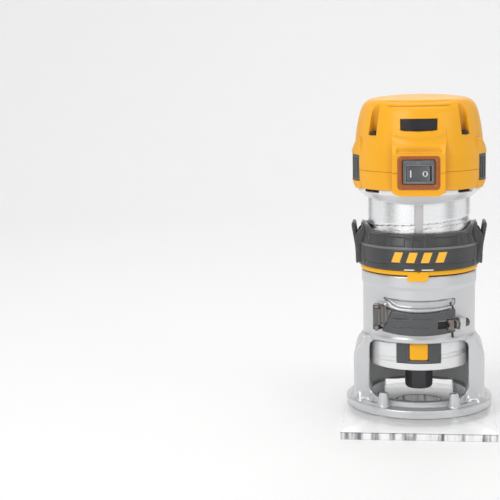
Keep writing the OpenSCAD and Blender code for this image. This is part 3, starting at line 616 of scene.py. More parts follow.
CARRY = {
    "guide_key": "steel", "sub_base_screws": "steel", "clamp_pin": "gunmetal", "tab_pins": "steel", "tab_springs": "steel",
    "nose_plate": "dark", "led_lights": "lamp", "led_boards": "board", "lock_pin": "steel", "lock_spring": "steel",
    "lower_bearing_outer": "steel", "lower_bearing_balls": "steel", "lower_bearing_inner": "steel",
    "upper_bearing_outer": "steel", "upper_bearing_balls": "steel", "upper_bearing_inner": "steel",
    "spindle": "steel", "cooling_fan": "dark", "armature_core": "lamination", "armature_windings": "copper",
    "commutator": "copper", "collet": "steel", "stator_core": "lamination", "field_coils": "copper",
    "bearing_bridge": "dark", "brush_holders": "brass", "carbon_brushes": "carbon", "brush_springs": "steel",
    "control_board": "board", "cover_screws": "inside", "clamp_screw": "bronze", "clamp_barrel": "bronze_light",
    "ring_marks": "print", "clamp_bracket": "bronze",
}
for node, key in CARRY.items():
    me = NODES[node].data
    for i in range(max(1, len(me.materials))):
        if i < len(me.materials):
            me.materials[i] = M[key]
        else:
            me.materials.append(M[key])


# ------------------------------------------------------------------ cap

POCKET = [(28.5, -27.5), (-28.5, -27.5), (28.5, 27.5), (-28.5, 27.5)]
CAP_LINE = smooth_line([
    (42.4, 155.7), (43.0, 157.0), (43.45, 159.5), (43.8, 164), (43.95, 171), (43.9, 178), (43.45, 182), (42.9, 186),
    (42.4, 191), (41.7, 196), (40.9, 200), (40.0, 204), (39.0, 207.4), (37.8, 209.9), (36.2, 212.0), (34.0, 213.65),
    (31.5, 214.75), (27, 215.5), (21, 216.2), (15, 216.65), (8, 216.92), (0.9, 217.0)], 14)
CAP_TH = angles([(-62, 62, 0.42), (-26, -14, 0.22), (14, 26, 0.22), (-53, -39, 0.28), (39, 53, 0.28),
                 (62, 118, 0.62), (-118, -62, 0.62), (-180, -163, 0.5), (163, 180, 0.5),
                 (127, 141, 0.33), (-141, -127, 0.33)], 0.9)


def cap_shape(th, r0, z0):
    """Outer radius, height, and how deep the point lies in an opening, for angles and profile rows."""
    T = wrap(th)[None, :] + 0 * r0[:, None]
    r = r0[:, None] + 0 * T
    z = z0[:, None] + 0 * T
    tr = np.radians(T)
    side = (z < 212.5)
    # grille housings on both sides
    Tg = np.abs(wrap(np.abs(T) - 90.0))
    tg = np.radians(Tg)
    xlim = np.interp(z[:, 0], [155.7, 160.6, 163, 180.0, 186.2, 188], [42.4, 45.15, 45.25, 45.3, 42.6, 40])[:, None]
    rg = smin(45.3 - 1.35 * (Tg / 27.8) ** 1.6, xlim / np.maximum(np.cos(tg), 0.2), 0.5)
    rg = np.where(Tg < 33, rg - 6 * ss(Tg, 27.3, 31.0), 0)
    r = np.where(side & (Tg < 33) & (z < 189), smax(r, rg, 0.8), r)
    # switch box and the panel that runs up from it
    front = np.abs(T) < 60
    cx = np.maximum(np.cos(tr), 0.3)
    yf = np.interp(z[:, 0], [150, 179.9, 180.7, 181.6, 183, 186.0, 190, 198], [46.15, 46.15, 45.9, 45.2, 45.0, 44.4, 43.4, 42.0])[:, None]
    plane = yf / cx
    off = np.interp(z[:, 0], [150, 186, 192, 195.4, 196.6], [0.6, 0.6, 0.5, 0.4, -0.5])[:, None]
    cylp = r + off
    t = ss(z, 180.5, 188.0)
    face = plane * (1 - t) + cylp * t
    halfw = np.interp(z[:, 0], [150, 181, 188, 196], [17.2, 17.2, 18.2, 17.6])[:, None]
    cheek = halfw / np.maximum(np.abs(np.sin(tr)), 0.05)
    box = smin(face, cheek, 1.6)
    r = np.where(front & (z < 197.5), smax(r, box, 0.7), r)
    # soft hollow below the plate and the terraces of the crown
    x = r * np.sin(tr)
    inx = 1 - ss(np.abs(x), 15.0, 18.5)
    zh = 188.6 + 0.008 * x * x
    r = r - np.where(front, 0.40 * np.exp(-((z - zh) / 1.2) ** 2) * inx, 0)
    # scoop above the lip of the switch opening
    sc_in = 1 - ss(np.abs(x), 13.6, 15.2)
    r = r - np.where(front, 1.7 * sc_in * ss(z, 180.2, 180.9) * (1 - ss(z, 181.4, 185.4)), 0)
    crown = (1 - ss(np.abs(x), 18.5, 23.5)) * (front & (r0[:, None] > 20))
    r = r - 0.75 * crown * (np.exp(-((z - 213.2) / 0.42) ** 2) + 1.0 * np.exp(-((z - 210.3) / 0.5) ** 2))
    r = r + 0.35 * crown * np.exp(-((z - 211.8) / 0.6) ** 2)
    # cord boss at the back
    xb = r * np.sin(tr)
    db = np.hypot(xb, z - 176)
    back = np.abs(T) > 120
    boss = 45.4 / np.maximum(-np.cos(tr), 0.3)
    r = np.where(back, r + (np.maximum(boss, r) - r) * (1 - ss(db, 9.8, 11.2)), r)
    r_full = r.copy()
    # openings
    depth = np.zeros_like(r)

    def sink(sel, target, m):
        nonlocal r, depth
        rr = np.where(sel, np.minimum(r, target), r)
        depth = np.maximum(depth, np.where(sel, m * (r - rr > 1.2), 0))
        r = r + (rr - r) * np.where(sel, m, 0)

    x = r_full * np.sin(tr)
    m = band(x, -13.0, 13.0, 0.3) * band(z, 157.6, 178.4, 0.25)
    sink(front, 38.0 / cx, m)
    yy = r_full * np.sin(tg)
    m = (1 - ss(yy, 19.5, 19.8)) * band(z, 160.6, 177.8, 0.25)
    sink(Tg < 40, 37.0 / np.maximum(np.cos(tg), 0.2), m)
    zb = 195.2 - 0.75 * (1 - np.clip(x / 11.9, -1, 1) ** 2)
    m = band(x, -11.95, 11.95, 0.3) * ss(z, zb - 0.15, zb + 0.1) * (1 - ss(z, 202.3, 202.6))
    dd = depth.copy()
    sink(front, 39.6 + 0 * r, m)
    depth = dd
    xb = r_full * np.sin(tr)
    m = 1 - ss(np.hypot(xb, z - 176), 7.0, 7.25)
    sink(back, 37.0 + 0 * r, m)
    dd = depth.copy()
    m = 1 - ss(np.hypot(xb, z - 199), 8.15, 8.4)
    sink(back, 38.3 / np.maximum(-np.cos(tr), 0.3), m)
    # screw pockets
    for px, py in POCKET:
        pa = math.degrees(math.atan2(px, -py))
        pr = math.hypot(px, py)
        dT = np.radians(wrap(T - pa))
        w = pr * np.sin(dT)
        near = np.abs(np.degrees(dT)) < 9
        half = 3.4 - 0.35 * ss(z, 200, 211)
        rin = pr * np.cos(dT) - np.sqrt(np.maximum(half ** 2 - w ** 2, 0))
        m = (1 - ss(np.abs(w), half - 0.12, half + 0.12)) * ss(z, 191.5, 191.75)
        sink(near, rin, m)
    depth = dd
    # lower edge drops under the switch box
    w = 1 - ss(np.abs(T), 13.5, 23.5)
    drop = np.where(front, w, 0)
    z = z - 2.9 * drop * np.clip((157.3 - z) / 1.6, 0, 1)
    return r, z, depth, drop


def shell(name, th, line, inner, top):
    """Cap part: dense outside rows, coarse inside rows. inner: rows of (r, z) going back down."""
    r, z, depth, drop = cap_shape(th, line[:, 0], line[:, 1])
    ones = np.ones(len(th))
    R, Z, D = [r], [z], [depth]
    rin = np.array([p[0] for p in inner])[:, None] * ones
    zin = np.array([p[1] for p in inner])[:, None] * ones
    if not top:
        low = np.array([1.0 if p[1] < 156 else 0.0 for p in inner])[:, None]
        rin = rin + low * drop[:1] * (42.4 - rin)
        zin = zin - low * 2.9 * drop[:1]
        rin = np.minimum(rin, r.min(0)[None, :] - 0.4 + 6 * (low > 0))
    else:
        rin = np.minimum(rin, np.maximum(r[(line[:, 1] < 211)].min(0) - 0.5, 1)[None, :]) if len(inner) > 1 else rin
    return np.vstack(R + [rin]), np.vstack(Z + [zin]), np.vstack([depth, 0 * rin])


low_rows = resample(CAP_LINE[CAP_LINE[:, 1] <= 167.95], 0.55, (156.1, 156.5, 156.9, 157.3, 157.45, 157.6, 157.75, 160.45, 160.6, 160.75))
low_rows = np.vstack([low_rows, [[43.9, 167.7], [43.72, 167.95]]])
# faces deep inside the openings take the near-black shadow material: painted shade
R, Z, D = shell("cap_lower", CAP_TH, low_rows, [(41.0, 167.95), (40.6, 160), (39.5, 157.6), (39.5, 155.7)], False)
cap_lower = put("cap_lower", field("cap_lower", CAP_TH, R, Z, D, loop=True), [M["yellow"], M["inside"]], "motor",
                ["lower_cover"], 32)
hi_rows = resample(CAP_LINE[(CAP_LINE[:, 1] >= 168.05) & (CAP_LINE[:, 0] > 33)], 0.58,
                   (177.65, 177.8, 177.95, 178.27, 178.4, 178.53, 180.2, 180.55, 180.9, 191.45, 191.6, 191.75, 194.5, 195.1, 195.3, 202.3, 202.45, 202.6))
crown_rows = resample(CAP_LINE[(CAP_LINE[:, 0] <= 33) & (CAP_LINE[:, 1] > 200)], 1.7)
hi_rows = np.vstack([[[43.75, 168.05], [43.93, 168.3]], hi_rows, crown_rows])
R, Z, D, _ = cap_shape(CAP_TH, hi_rows[:, 0], hi_rows[:, 1])
lip = np.full((1, len(CAP_TH)), 40.6)
R, Z, D = np.vstack([lip, R]), np.vstack([np.full_like(lip, 168.05), Z]), np.vstack([0 * lip, D])
# faces deep inside the openings and screw pockets take the near-black shadow material: painted shade
cap_upper = put("cap_upper", field("cap_upper", CAP_TH, R, Z, D, pole1=True), [M["yellow"], M["inside"]], "motor",
                ["top_cover"], 32)

# rating plate on the curve of the cap, with its bottom edge bowed
me = slab("rating_plate_look", np.linspace(-16.6, 16.6, 45), np.linspace(0, 1, 9), lambda u, v: u > -99,
          lambda u, v: arc_pt(40.75 + 0 * u, u, 195.35 - 0.7 * (1 - (u / 16.6) ** 2) * (1 - v) + 6.95 * v),
          lambda u, v: arc_pt(39.5 + 0 * u, u, 195.35 - 0.7 * (1 - (u / 16.6) ** 2) * (1 - v) + 6.95 * v))
put("rating_plate_look", bevel(me, 0.18, 2), M["plate"], "motor", ["rating_plate"])

# side grilles: upright slats in a frame
def grille(sign):
    def r_out(u):
        return np.minimum(45.3 - 1.35 * (np.abs(u) / 27.8) ** 1.6, 44.75 / np.cos(np.radians(u)))
    us, slots = [-26.1], []
    edges = np.linspace(-24.6, 24.6, 12)
    for k in range(11):
        slots.append((edges[k] + 0.75, edges[k + 1] - 0.75))
    us = sorted(set([-26.1, -25.2, 25.2, 26.1] + [e for s in slots for e in s] + list(np.linspace(-24.6, 24.6, 25))))
    vs = [160.75, 161.6, 162.2, 166, 169, 172, 176.2, 176.8, 177.65]

    def keep(u, v):
        k = np.ones_like(u, bool)
        for a, b in slots:
            k &= ~((u > a) & (u < b) & (v > 162.2) & (v < 176.2))
        return k

    def out(u, v):
        rr = r_out(u) - 0.25 + 0.0 * v
        return arc_pt(rr, u + 90.0 * sign, v)

    me = slab("g", us, vs, keep, out, lambda u, v: arc_pt(41.4 + 0 * u, u + 90.0 * sign, v))
    return bevel(me, 0.16, 2)


for sgn, node in ((1, "vent_grille_right"), (-1, "vent_grille_left")):
    put(node + "_look", grille(sgn), M["dark"], "motor", [node])


# ------------------------------------------------------------------ switch

def rounded_rect(x0, x1, z0, z1, r, n=6):
    pts = []
    for cx, cz, a0 in ((x1 - r, z1 - r, 0), (x0 + r, z1 - r, 90), (x0 + r, z0 + r, 180), (x1 - r, z0 + r, 270)):
        for k in range(n + 1):
            a = rad(a0 + 90 * k / n)
            pts.append((cx + r * math.cos(a), cz + r * math.sin(a)))
    return pts


def frame_loft(name, rings):
    """Ring-shaped frame from rounded rectangles: rings are (pts, y), outside first, round to the start."""
    n = len(rings[0][0])
    V = []
    for pts, y in rings:
        V += [(p[0], y, p[1]) for p in pts]
    F, k = [], len(rings)
    for i in range(k):
        for j in range(n):
            F.append((i * n + j, i * n + (j + 1) % n, ((i + 1) % k) * n + (j + 1) % n, ((i + 1) % k) * n + j))
    me = build(name, V, [np.array(F, np.int32)])
    bm = bmesh.new()
    bm.from_mesh(me)
    bmesh.ops.recalc_face_normals(bm, faces=bm.faces)
    bm.to_mesh(me)
    bm.free()
    return me


RR = rounded_rect
me = frame_loft("switch_bezel_look", [
    (RR(-12.9, 12.9, 157.7, 178.3, 2.6), -41.6), (RR(-12.9, 12.9, 157.7, 178.3, 2.6), -45.9),
    (RR(-13.65, 13.65, 157.05, 178.95, 2.4), -45.95), (RR(-13.7, 13.7, 157.0, 179.0, 2.45), -46.3),
    (RR(-13.45, 13.45, 157.25, 178.75, 2.35), -46.6), (RR(-12.8, 12.8, 157.9, 178.1, 2.2), -46.85),
    (RR(-12.0, 12.0, 158.6, 177.5, 2.0), -46.9), (RR(-11.3, 11.3, 159.4, 176.9, 1.9), -46.65), (RR(-10.75, 10.75, 160.1, 176.6, 1.7), -46.0),
    (RR(-10.45, 10.45, 160.5, 176.5, 1.5), -45.0), (RR(-10.4, 10.4, 160.5, 176.5, 1.5), -41.6)])
put("switch_bezel_look", me, M["amber"], "motor", ["switch_bezel"], 50)
me = frame_loft("a", [
    (RR(-10.3, 10.3, 160.6, 176.4, 1.3), -38.6), (RR(-10.3, 10.3, 160.6, 176.4, 1.3), -45.2),
    (RR(-10.0, 10.0, 160.9, 176.1, 1.1), -45.6), (RR(-8.9, 8.9, 161.9, 173.3, 0.7), -45.3),
    (RR(-8.6, 8.6, 162.1, 172.9, 0.5), -44.6), (RR(-8.6, 8.6, 162.1, 172.9, 0.5), -38.6)])
body_parts = [me, prism("b", [(-10.2, 160.7), (10.2, 160.7), (10.2, 176.3), (-10.2, 176.3)], "y", -38.7, -27.5, 0),
              bevel(prism("c", [(-8.6, 174.2), (8.6, 174.2), (8.6, 174.9), (-8.6, 174.9)], "y", -45.9, -45.2, 0), 0.12),
              bevel(prism("d", [(-1.6, 173.3), (1.6, 173.3), (1.6, 175.8), (-1.6, 175.8)], "y", -45.95, -45.1, 0), 0.2)]
put("switch_body_look", join("switch_body_look", *body_parts), M["switch"], "motor", ["switch_body"], 40)

# thin lighter frame round the rocker: painted highlight
me = frame_loft("rim", [(RR(-8.75, 8.75, 161.95, 173.05, 0.6), -45.2), (RR(-8.75, 8.75, 161.95, 173.05, 0.6), -45.45),
                        (RR(-8.4, 8.4, 162.3, 172.7, 0.5), -45.45), (RR(-8.4, 8.4, 162.3, 172.7, 0.5), -44.9)])
put("switch_rim", me, M["rim"], "motor", (), 50)
RM = Matrix.Translation((0, -0.041, 0)) @ Matrix.Rotation(rad(-7), 4, "Z")
outline = [(-7.9, -3.3), (-7.75, -4.55), (-6.6, -4.75), (-3.2, -3.95), (0, -3.55), (3.2, -3.95), (6.6, -4.75), (7.75, -4.55),
           (7.9, -3.3), (6.9, 0), (2, 2.4), (-2, 2.4), (-6.9, 0)]
me = bevel(prism("rocker", outline, "z", 162.35, 172.45, 1), 0.35, 3, 40)
stub = cyl("stub", 0.9, (0, 0, 161.1), (0, 0, 173.8), 24)
me = join("switch_rocker_look", me, stub)
me.transform(RM)
put("switch_rocker_look", me, M["switch"], "switch_rocker", ["switch_rocker"], 40)
# plain on / off symbols on the rocker, a bar and a ring
bar = bevel(prism("bar", [(-0.4, 165.1), (0.4, 165.1), (0.4, 169.6), (-0.4, 169.6)], "y", -0.12, 0.12, 0), 0.05)
bar.transform(RM @ Matrix.Translation((-4.7 * MM, -4.36 * MM, 0)) @ Matrix.Rotation(rad(13), 4, "Z"))
o_pts = [(RR(-1.75, 1.75, -1.75, 1.75, 1.74, 8), -0.12), (RR(-1.75, 1.75, -1.75, 1.75, 1.74, 8), 0.12),
         (RR(-1.0, 1.0, -1.4, 1.4, 0.98, 8), 0.12), (RR(-1.0, 1.0, -1.4, 1.4, 0.98, 8), -0.12)]
ring_o = frame_loft("o", o_pts)
ring_o.transform(RM @ Matrix.Translation((4.7 * MM, -4.36 * MM, 167.4 * MM)) @ Matrix.Rotation(rad(-13), 4, "Z"))
put("rocker_symbols", join("rocker_symbols", bar, ring_o), M["white"], "switch_rocker", ())


# ------------------------------------------------------------------ motor can

CAN_LINE = [(31.5, 37.0), (31.5, 34.9), (31.9, 34.5), (33.9, 34.5), (34.35, 34.7), (34.5, 35.1), (34.5, 143.4)]
can_th = angles([(-34, 34, 0.5), (-6, -3.4, 0.25), (3.4, 6, 0.25), (-27.5, -22.5, 0.25), (22.5, 27.5, 0.25)], 1.2)
zrows = steps((35.1, 39.0, 0.6), (38.9, 39.3, 0.13), (39.3, 53.4, 0.6), (53.4, 53.8, 0.13), (53.8, 66, 0.6),
              (66, 118, 1.6), (118, 143.4, 0.33))
rows = [(31.5, 37.0), (31.5, 34.9), (31.9, 34.5), (33.9, 34.5), (34.35, 34.7)] + [(34.5, z) for z in zrows]
BOWL0 = 148.4
rows += [(34.5, 144.2), (34.5, 146.0), (34.5, 147.6), (34.5, BOWL0 - 0.12)]
rows += [tuple(p) for p in resample(smooth_line([(34.6, BOWL0), (35.3, 148.5), (36.1, 148.95), (37.9, 150.4), (39.8, 152.0), (41.2, 153.2),
                                                 (41.75, 154.1), (41.8, 155.0)], 8), 0.5)]
rows += [(41.8, 155.55), (41.5, 155.6), (39.3, 155.6), (38.6, 153.6), (35, 151.5), (31.5, 151)]
rows = np.array(rows)
T = wrap(can_th)[None, :] + 0 * rows[:, :1]
r = rows[:, :1] + 0 * T
z = rows[:, 1:] + 0 * T
tr = np.radians(T)
# the shoulder reaches lower at the front and at the back
low_edge = BOWL0 - 2.35 * (1 - ss(np.minimum(np.abs(T), 180 - np.abs(T)), 6, 66))
z = np.where((z > 143.9) & (z <= 155.01), np.where(z <= BOWL0, 143.9 + (z - 143.9) * (low_edge - 143.9) / (BOWL0 - 143.9),
                                                   low_edge + (z - BOWL0) * (155.0 - low_edge) / (155.0 - BOWL0)), z)
out = (rows[:, :1] > 34.4) & (rows[:, 1:] < 146.5)
# helical channel for the depth screw, with a soft shoulder on each side
lead, zc0 = 12.7, 131.2
hz = (z - zc0 - lead * T / 360.0)
kk = np.round(hz / lead)
dz = np.abs(hz - kk * lead)
zmid = z - (hz - kk * lead)
helix = (1 - ss(dz, 1.0, 1.9)) * ss(zmid, 39.8, 41.2) * (1 - ss(zmid, 136.5, 137.5))
rim2 = np.exp(-((dz - 2.4) / 0.45) ** 2) * ss(zmid, 39.8, 41.2) * (1 - ss(zmid, 136.5, 137.5))
r = r - np.where(out, 0.75 * helix + 0.10 * rim2, 0)
x = 34.5 * np.sin(tr)
front = np.abs(T) < 60
groove = band(x, -2.75, 2.75, 0.3) * band(z, 53.0, 145.0, 0.6) * front
r = np.where(out, np.minimum(r, 34.5 - 1.15 * groove), r)
low_rim = band(z, 36.4, 37.0, 0.5)
r = r - np.where(out, 0.22 * low_rim, 0)
lock = band(x, -14.8, 14.8, 0.25) * band(z, 39.1, 53.6, 0.2) * front
r = np.where(out, r - 2.4 * lock, r)
# well behind the window of the lock frame, deep enough for the pressed button
well = band(x, -8.2, 8.2, 0.4) * band(z, 40.4, 53.6, 0.2) * front
r = np.where(out, r - 4.2 * well, r)
# air gaps under the cap
gap = np.zeros_like(r)
for a in (48, -48, 132, -132):
    gap = np.maximum(gap, band(wrap(T - a), -9.2, 9.2, 0.9))
gap = gap * ss(z, 153.7, 154.1) * (rows[:, :1] > 41.0)
r = r - 2.2 * gap
dark = np.where(lock * out > 0.6, 1.0, 0) + np.where(gap > 0.6, 1.0, 0)
me = field("motor_can", can_th, r, z, None)
# material by height: polished can, die-cast shoulder, and the gaps under the cap and the lock well painted with the
# near-black shadow colour
zc = np.array([p.center.z for p in me.polygons]) / MM
xc = np.array([p.center.x for p in me.polygons]) / MM
yc = np.array([p.center.y for p in me.polygons]) / MM
rc = np.hypot(xc, yc)
ac0 = np.degrees(np.arctan2(xc, -yc))
idx = np.where(zc > BOWL0 - 2.35 * (1 - ss(np.minimum(np.abs(ac0), 180 - np.abs(ac0)), 6, 66)), 1, 0)
ac = np.degrees(np.arctan2(xc, -yc))
isgap = np.zeros(len(zc), bool)
for a in (48, -48, 132, -132):
    isgap |= (np.abs(wrap(ac - a)) < 9.3) & (zc > 153.8) & (rc < 41.3)
islock = (np.abs(xc) < 14.9) & (zc > 39.0) & (zc < 53.7) & (rc < 34.1) & (rc > 26.5) & (yc < 0)
isgroove = (np.abs(xc) < 2.7) & (zc > 54) & (zc < 144.7) & (rc < 33.9) & (yc < 0)
# groove faces take the darker copy of the can finish: painted shade
idx = np.where(isgroove, 3, idx)
# lower can faces take the matte copy of the can finish: painted light
idx = np.where((zc < 53.8) & (rc > 33.0), 4, idx)
idx = np.where(isgap | islock, 2, idx)
me.polygons.foreach_set("material_index", idx.astype(np.int32))
put("motor_can", me, [M["can"], M["bowl"], M["inside"], M["keyway_shade"], M["sleeve"]], "motor", ["motor_housing"], 28)

# spindle lock: frame and button on the curve of the can
def curved_block(name, x0, x1, z0, z1, r_out, r_in, hole=None, crown=0.0, ribs=0.0):
    xs = sorted(set(list(np.linspace(x0, x1, 41)) + ([hole[0], hole[1]] if hole else [])))
    zs = sorted(set(list(np.linspace(z0, z1, 17)) + ([hole[2], hole[3]] if hole else [])))

    def keep(u, v):
        if not hole:
            return np.ones_like(u, bool)
        return ~((u > hole[0]) & (u < hole[1]) & (v > hole[2]) & (v < hole[3]))

    def outp(u, v):
        rr = r_out + crown * (1 - ((2 * u - x0 - x1) / (x1 - x0)) ** 2) * (1 - ((2 * v - z0 - z1) / (z1 - z0)) ** 2)
        if ribs:
            rr = rr - ribs * (np.abs(((np.abs(u) - 8.0) / 2.2) % 1.0 - 0.5) < 0.18) * (np.abs(u) > 7.6) * (np.abs(u) < 13.6)
        return np.stack([u, -np.sqrt(rr ** 2 - u ** 2), v], -1)

    return slab(name, xs, zs, keep, outp, lambda u, v: np.stack([u, -np.sqrt(r_in ** 2 - u ** 2), v], -1))


me = bevel(curved_block("lock_frame_look", -14.7, 14.7, 39.2, 53.5, 34.3, 31.2, (-6.35, 6.35, 41.05, 53.15), ribs=0.25), 0.22, 2)
stem = prism("stem", [(-10.5, 40.5), (10.5, 40.5), (10.5, 53), (-10.5, 53)], "y", -28.1, -25.4, 0)
put("lock_frame_look", join("lock_frame_look", me, bevel(stem, 0.3)), M["dark"], "motor", ["lock_frame"])
corner = RR(-6.1, 6.1, 41.3, 52.9, 1.5, 5)
me = prism("btn", corner, "y", -33.9, -31.3, 0)
bm = bmesh.new()
bm.from_mesh(me)
bm.free()
me = frame_loft("btn", [(corner, -31.3), (corner, -33.35), (RR(-5.9, 5.9, 41.5, 52.7, 1.4, 5), -33.75),
                        (RR(-5.4, 5.4, 42.0, 52.2, 1.2, 5), -33.98), (RR(-2.5, 2.5, 45, 49.2, 1.0, 5), -33.85),
                        (RR(-0.4, 0.4, 46.6, 47.4, 0.2, 5), -33.8)])
bm = bmesh.new()
bm.from_mesh(me)
bmesh.ops.delete(bm, geom=[f for f in bm.faces if abs(f.calc_center_median().y + 0.0325) < 0.0012 and f.calc_area() > 0 and
                           max(v.co.y for v in f.verts) > -0.0314 and min(v.co.y for v in f.verts) < -0.0337], context="FACES")
bmesh.ops.holes_fill(bm, edges=[e for e in bm.edges if e.is_boundary])
bmesh.ops.recalc_face_normals(bm, faces=bm.faces)
bm.to_mesh(me)
bm.free()
put("lock_button_look", me, M["yellow2"], "lock_button", ["lock_button"], 50)
# the spring seats in the back of the button and stays behind its face
me = cad_mesh("lock_spring", 0)
y0 = max(v.co.y for v in me.vertices)
for v in me.vertices:
    v.co.y = y0 + (v.co.y - y0) * 0.80
me.materials.clear()
put("lock_spring_look", me, M["steel"], "motor", ["lock_spring"], 40)

# collet nut with its rounded nose
nt_th = angles([], 2.0)
nut_rows = resample(smooth_line([(6.0, 15.22), (7.4, 15.25), (8.4, 15.5), (9.0, 16.1), (9.4, 17.2), (9.6, 19.0)], 6), 0.35)
nut_rows = np.vstack([[[5.6, 17.0]], nut_rows, [[9.6, z] for z in np.arange(22, 33.2, 1.4)], [[9.6, 33.5], [9.2, 34.0], [8.7, 34.3], [7.1, 34.3]]])
T = wrap(nt_th)[None, :] + 0 * nut_rows[:, :1]
hexa = 8.25 / np.cos(np.radians((T + 30 + 720) % 60 - 30))
r = smin(nut_rows[:, :1] + 0 * T, hexa + 0.06, 0.35)
r = np.where(nut_rows[:, :1] < 7.15, nut_rows[:, :1] + 0 * T, r)
ring_g = np.exp(-((nut_rows[:, 1:] - 31.2) / 0.5) ** 2)
r = r - 0.35 * ring_g
me = field("nut", nt_th, r, nut_rows[:, 1:] + 0 * T)
put("collet_nut_look", me, M["black_steel"], "collet_nut", ["collet_nut"], 40)


# ------------------------------------------------------------------ adjusting ring, index ring, tabs

ring_th = angles([(-72, 72, 0.5), (72, 108, 0.4), (-108, -72, 0.4)], 0.55)
ring_line = [(36.9, 93.6), (36.9, 103.1)]
ring_line += [(41.0, 103.1), (41.35, 103.25), (41.5, 103.6)]
ring_line += [(41.5, z) for z in steps((104, 107.2, 0.8))] + [(41.5, 107.6), (41.6, 107.8), (41.95, 108.0), (42.0, 108.25)]
ring_line += [(42.0, z) for z in steps((109, 116.0, 1.0))] + [(42.0, 116.5), (41.9, 116.9), (41.55, 117.3), (41.2, 117.8)]
ring_line += [tuple(p) for p in resample([(41.2, 117.8), (40.6, 120), (39.9, 122.4), (39.0, 125.2)], 0.4)]
ring_line += [(38.8, 125.8), (38.4, 126.5), (37.8, 126.9), (37.2, 127.0), (35.1, 127.0)]
ring_line = np.array(ring_line)
T = wrap(ring_th)[None, :] + 0 * ring_line[:, :1]
r = ring_line[:, :1] + 0 * T
z = ring_line[:, 1:] + 0 * T
Tf = np.where(np.abs(T) > 90, -(wrap(T + 180)), T)          # same face at the back
outer = (ring_line[:, :1] > 38.0)
grip = np.zeros_like(r)
for a, b, lo, hi, d in ((-30, -13.5, 118.9, 125.0, 0.95), (15.5, 41.5, 118.9, 125.0, 0.95),
                        (-56, -38, 118.9, 125.4, 0.95), (49, 58, 118.9, 125.4, 0.95)):
    zz = band(z, lo, hi, 0.8)
    grip = np.maximum(grip, d * band(Tf, a, b, 1.4) * zz)
rib = 0.45 * band(Tf, -7.5, 7.0, 0.7) * band(z, 117.4, 126.8, 0.6) - 0.25 * band(Tf, -5.6, 5.2, 0.9) * band(z, 118.6, 126.0, 0.8)
edge = 0.55 * (band(np.abs(Tf), 60.2, 62.6, 0.9)) * band(z, 104.2, 125.0, 0.8)
past = -0.45 * ss(np.abs(Tf), 62.4, 63.4) * band(z, 107.6, 125.0, 0.8)
r = np.where(outer, r - grip + rib + edge + past, r)
r = np.where(outer, r - 0.30 * band(z, 107.0, 108.0, 0.5) * (np.abs(Tf) < 60), r)
# notch and seats of the release tabs
Tg = np.abs(wrap(np.abs(T) - 90.0))
tg = np.radians(Tg)
seat = (1 - ss(np.abs(r * np.sin(tg)), 9.3, 9.6)) * (Tg < 20) * (ring_line[:, :1] > 37.3)
lim = np.where(z < 116.1, 37.95, 39.4) / np.cos(tg)
r = r + (np.minimum(r, lim) - r) * seat
rise = 1 - ss(Tg, 13.0, 35.0)
z = z + 3.5 * rise * np.clip((z - 123.0) / 3.0, 0, 1)
r = np.where((z > 123.5) & (r > 38.9), 38.9 + (r - 38.9) * 0.5, r)
me = field("ring", ring_th, r, z, loop=True)
parts = [me]
for s in (-1, 1):
    ear = [(35.7, 120), (38.3, 118), (38.7, 123), (39.2, 129.0), (39.0, 130.8), (38.3, 131.35), (37.3, 131.1), (36.5, 129.9), (35.8, 127)]
    parts.append(bevel(prism("ear", [(s * a, b) for a, b in ear], "y", -7, 7, 1), 0.35, 2, 40))
    rib_in = [(36.6, 126.6), (38.9, 126.6), (38.3, 130.3), (37.4, 130.3)]
    for y in (-9.6, 8.2):
        parts.append(bevel(prism("rb", [(s * a, b) for a, b in rib_in], "y", y, y + 1.4, 0), 0.3, 2, 40))
    for y in (9.5, -12.3):
        yb = (y + 0.4, y + 3.35) if y > 0 else (y - 0.55, y + 2.4)
        parts.append(bevel(cyl("h", 1.7, (s * 40.3, yb[0], 113), (s * 40.3, yb[1], 113), 40), 0.35, 2, 40))
        up = [(36.9, 104.2), (41.6, 104.2), (42.15, 104.9), (42.25, 108), (42.3, 113), (42.55, 117.5), (42.75, 121.5), (42.3, 123.6),
              (41.2, 125.6), (39.6, 127.2), (38.0, 128.2), (36.6, 128.4)]
        parts.append(bevel(prism("hu", [(s * a, b) for a, b in up], "y", y, y + 2.8, 0), 0.45, 3, 40))
put("adjusting_ring_look", join("adjusting_ring_look", *parts), M["ring"], "adjusting_ring", ["adjusting_ring"],
    34)

# printed dashes beside the index notch, on the lower band of the ring
def dash(a, b, z0, z1):
    n = max(3, int((b - a) / 1.0))
    return slab("d", np.linspace(a, b, n), [z0, (z0 + z1) / 2, z1], lambda u, v: u > -999,
                lambda u, v: arc_pt(41.56 + 0 * u, u, v), lambda u, v: arc_pt(41.3 + 0 * u, u, v))


put("ring_dashes", join("ring_dashes", dash(-13.4, -4.2, 103.35, 104.1), dash(2.6, 13.4, 103.35, 104.1)), M["white"],
    "adjusting_ring", ())

rows = np.array([(37.4, 99.9), (37.6, 99.65), (39.2, 99.65), (39.5, 99.8), (39.6, 100.1), (39.62, 101), (39.6, 102.1),
                 (39.45, 102.45), (39.2, 102.6), (37.6, 102.6), (37.35, 102.3)])
it = angles([], 1.5)
T = wrap(it)[None, :] + 0 * rows[:, :1]
nick = 0.5 * (1 - ss(np.abs(T), 0.8, 1.5)) * (rows[:, :1] > 39) * (rows[:, 1:] > 101.5)
me = field("idx", angles([(-3, 3, 0.3)], 1.5), *(lambda th: ((lambda TT: (
    rows[:, :1] - 0.55 * (1 - ss(np.abs(TT), 0.7, 1.3)) * (rows[:, :1] > 39) * (rows[:, 1:] > 101.2), rows[:, 1:] + 0 * TT))(
    wrap(th)[None, :] + 0 * rows[:, :1])))(angles([(-3, 3, 0.3)], 1.5)), loop=True)
us = sorted(set(list(np.linspace(-10.6, 9.4, 25)) + [-0.9, 0.9]))


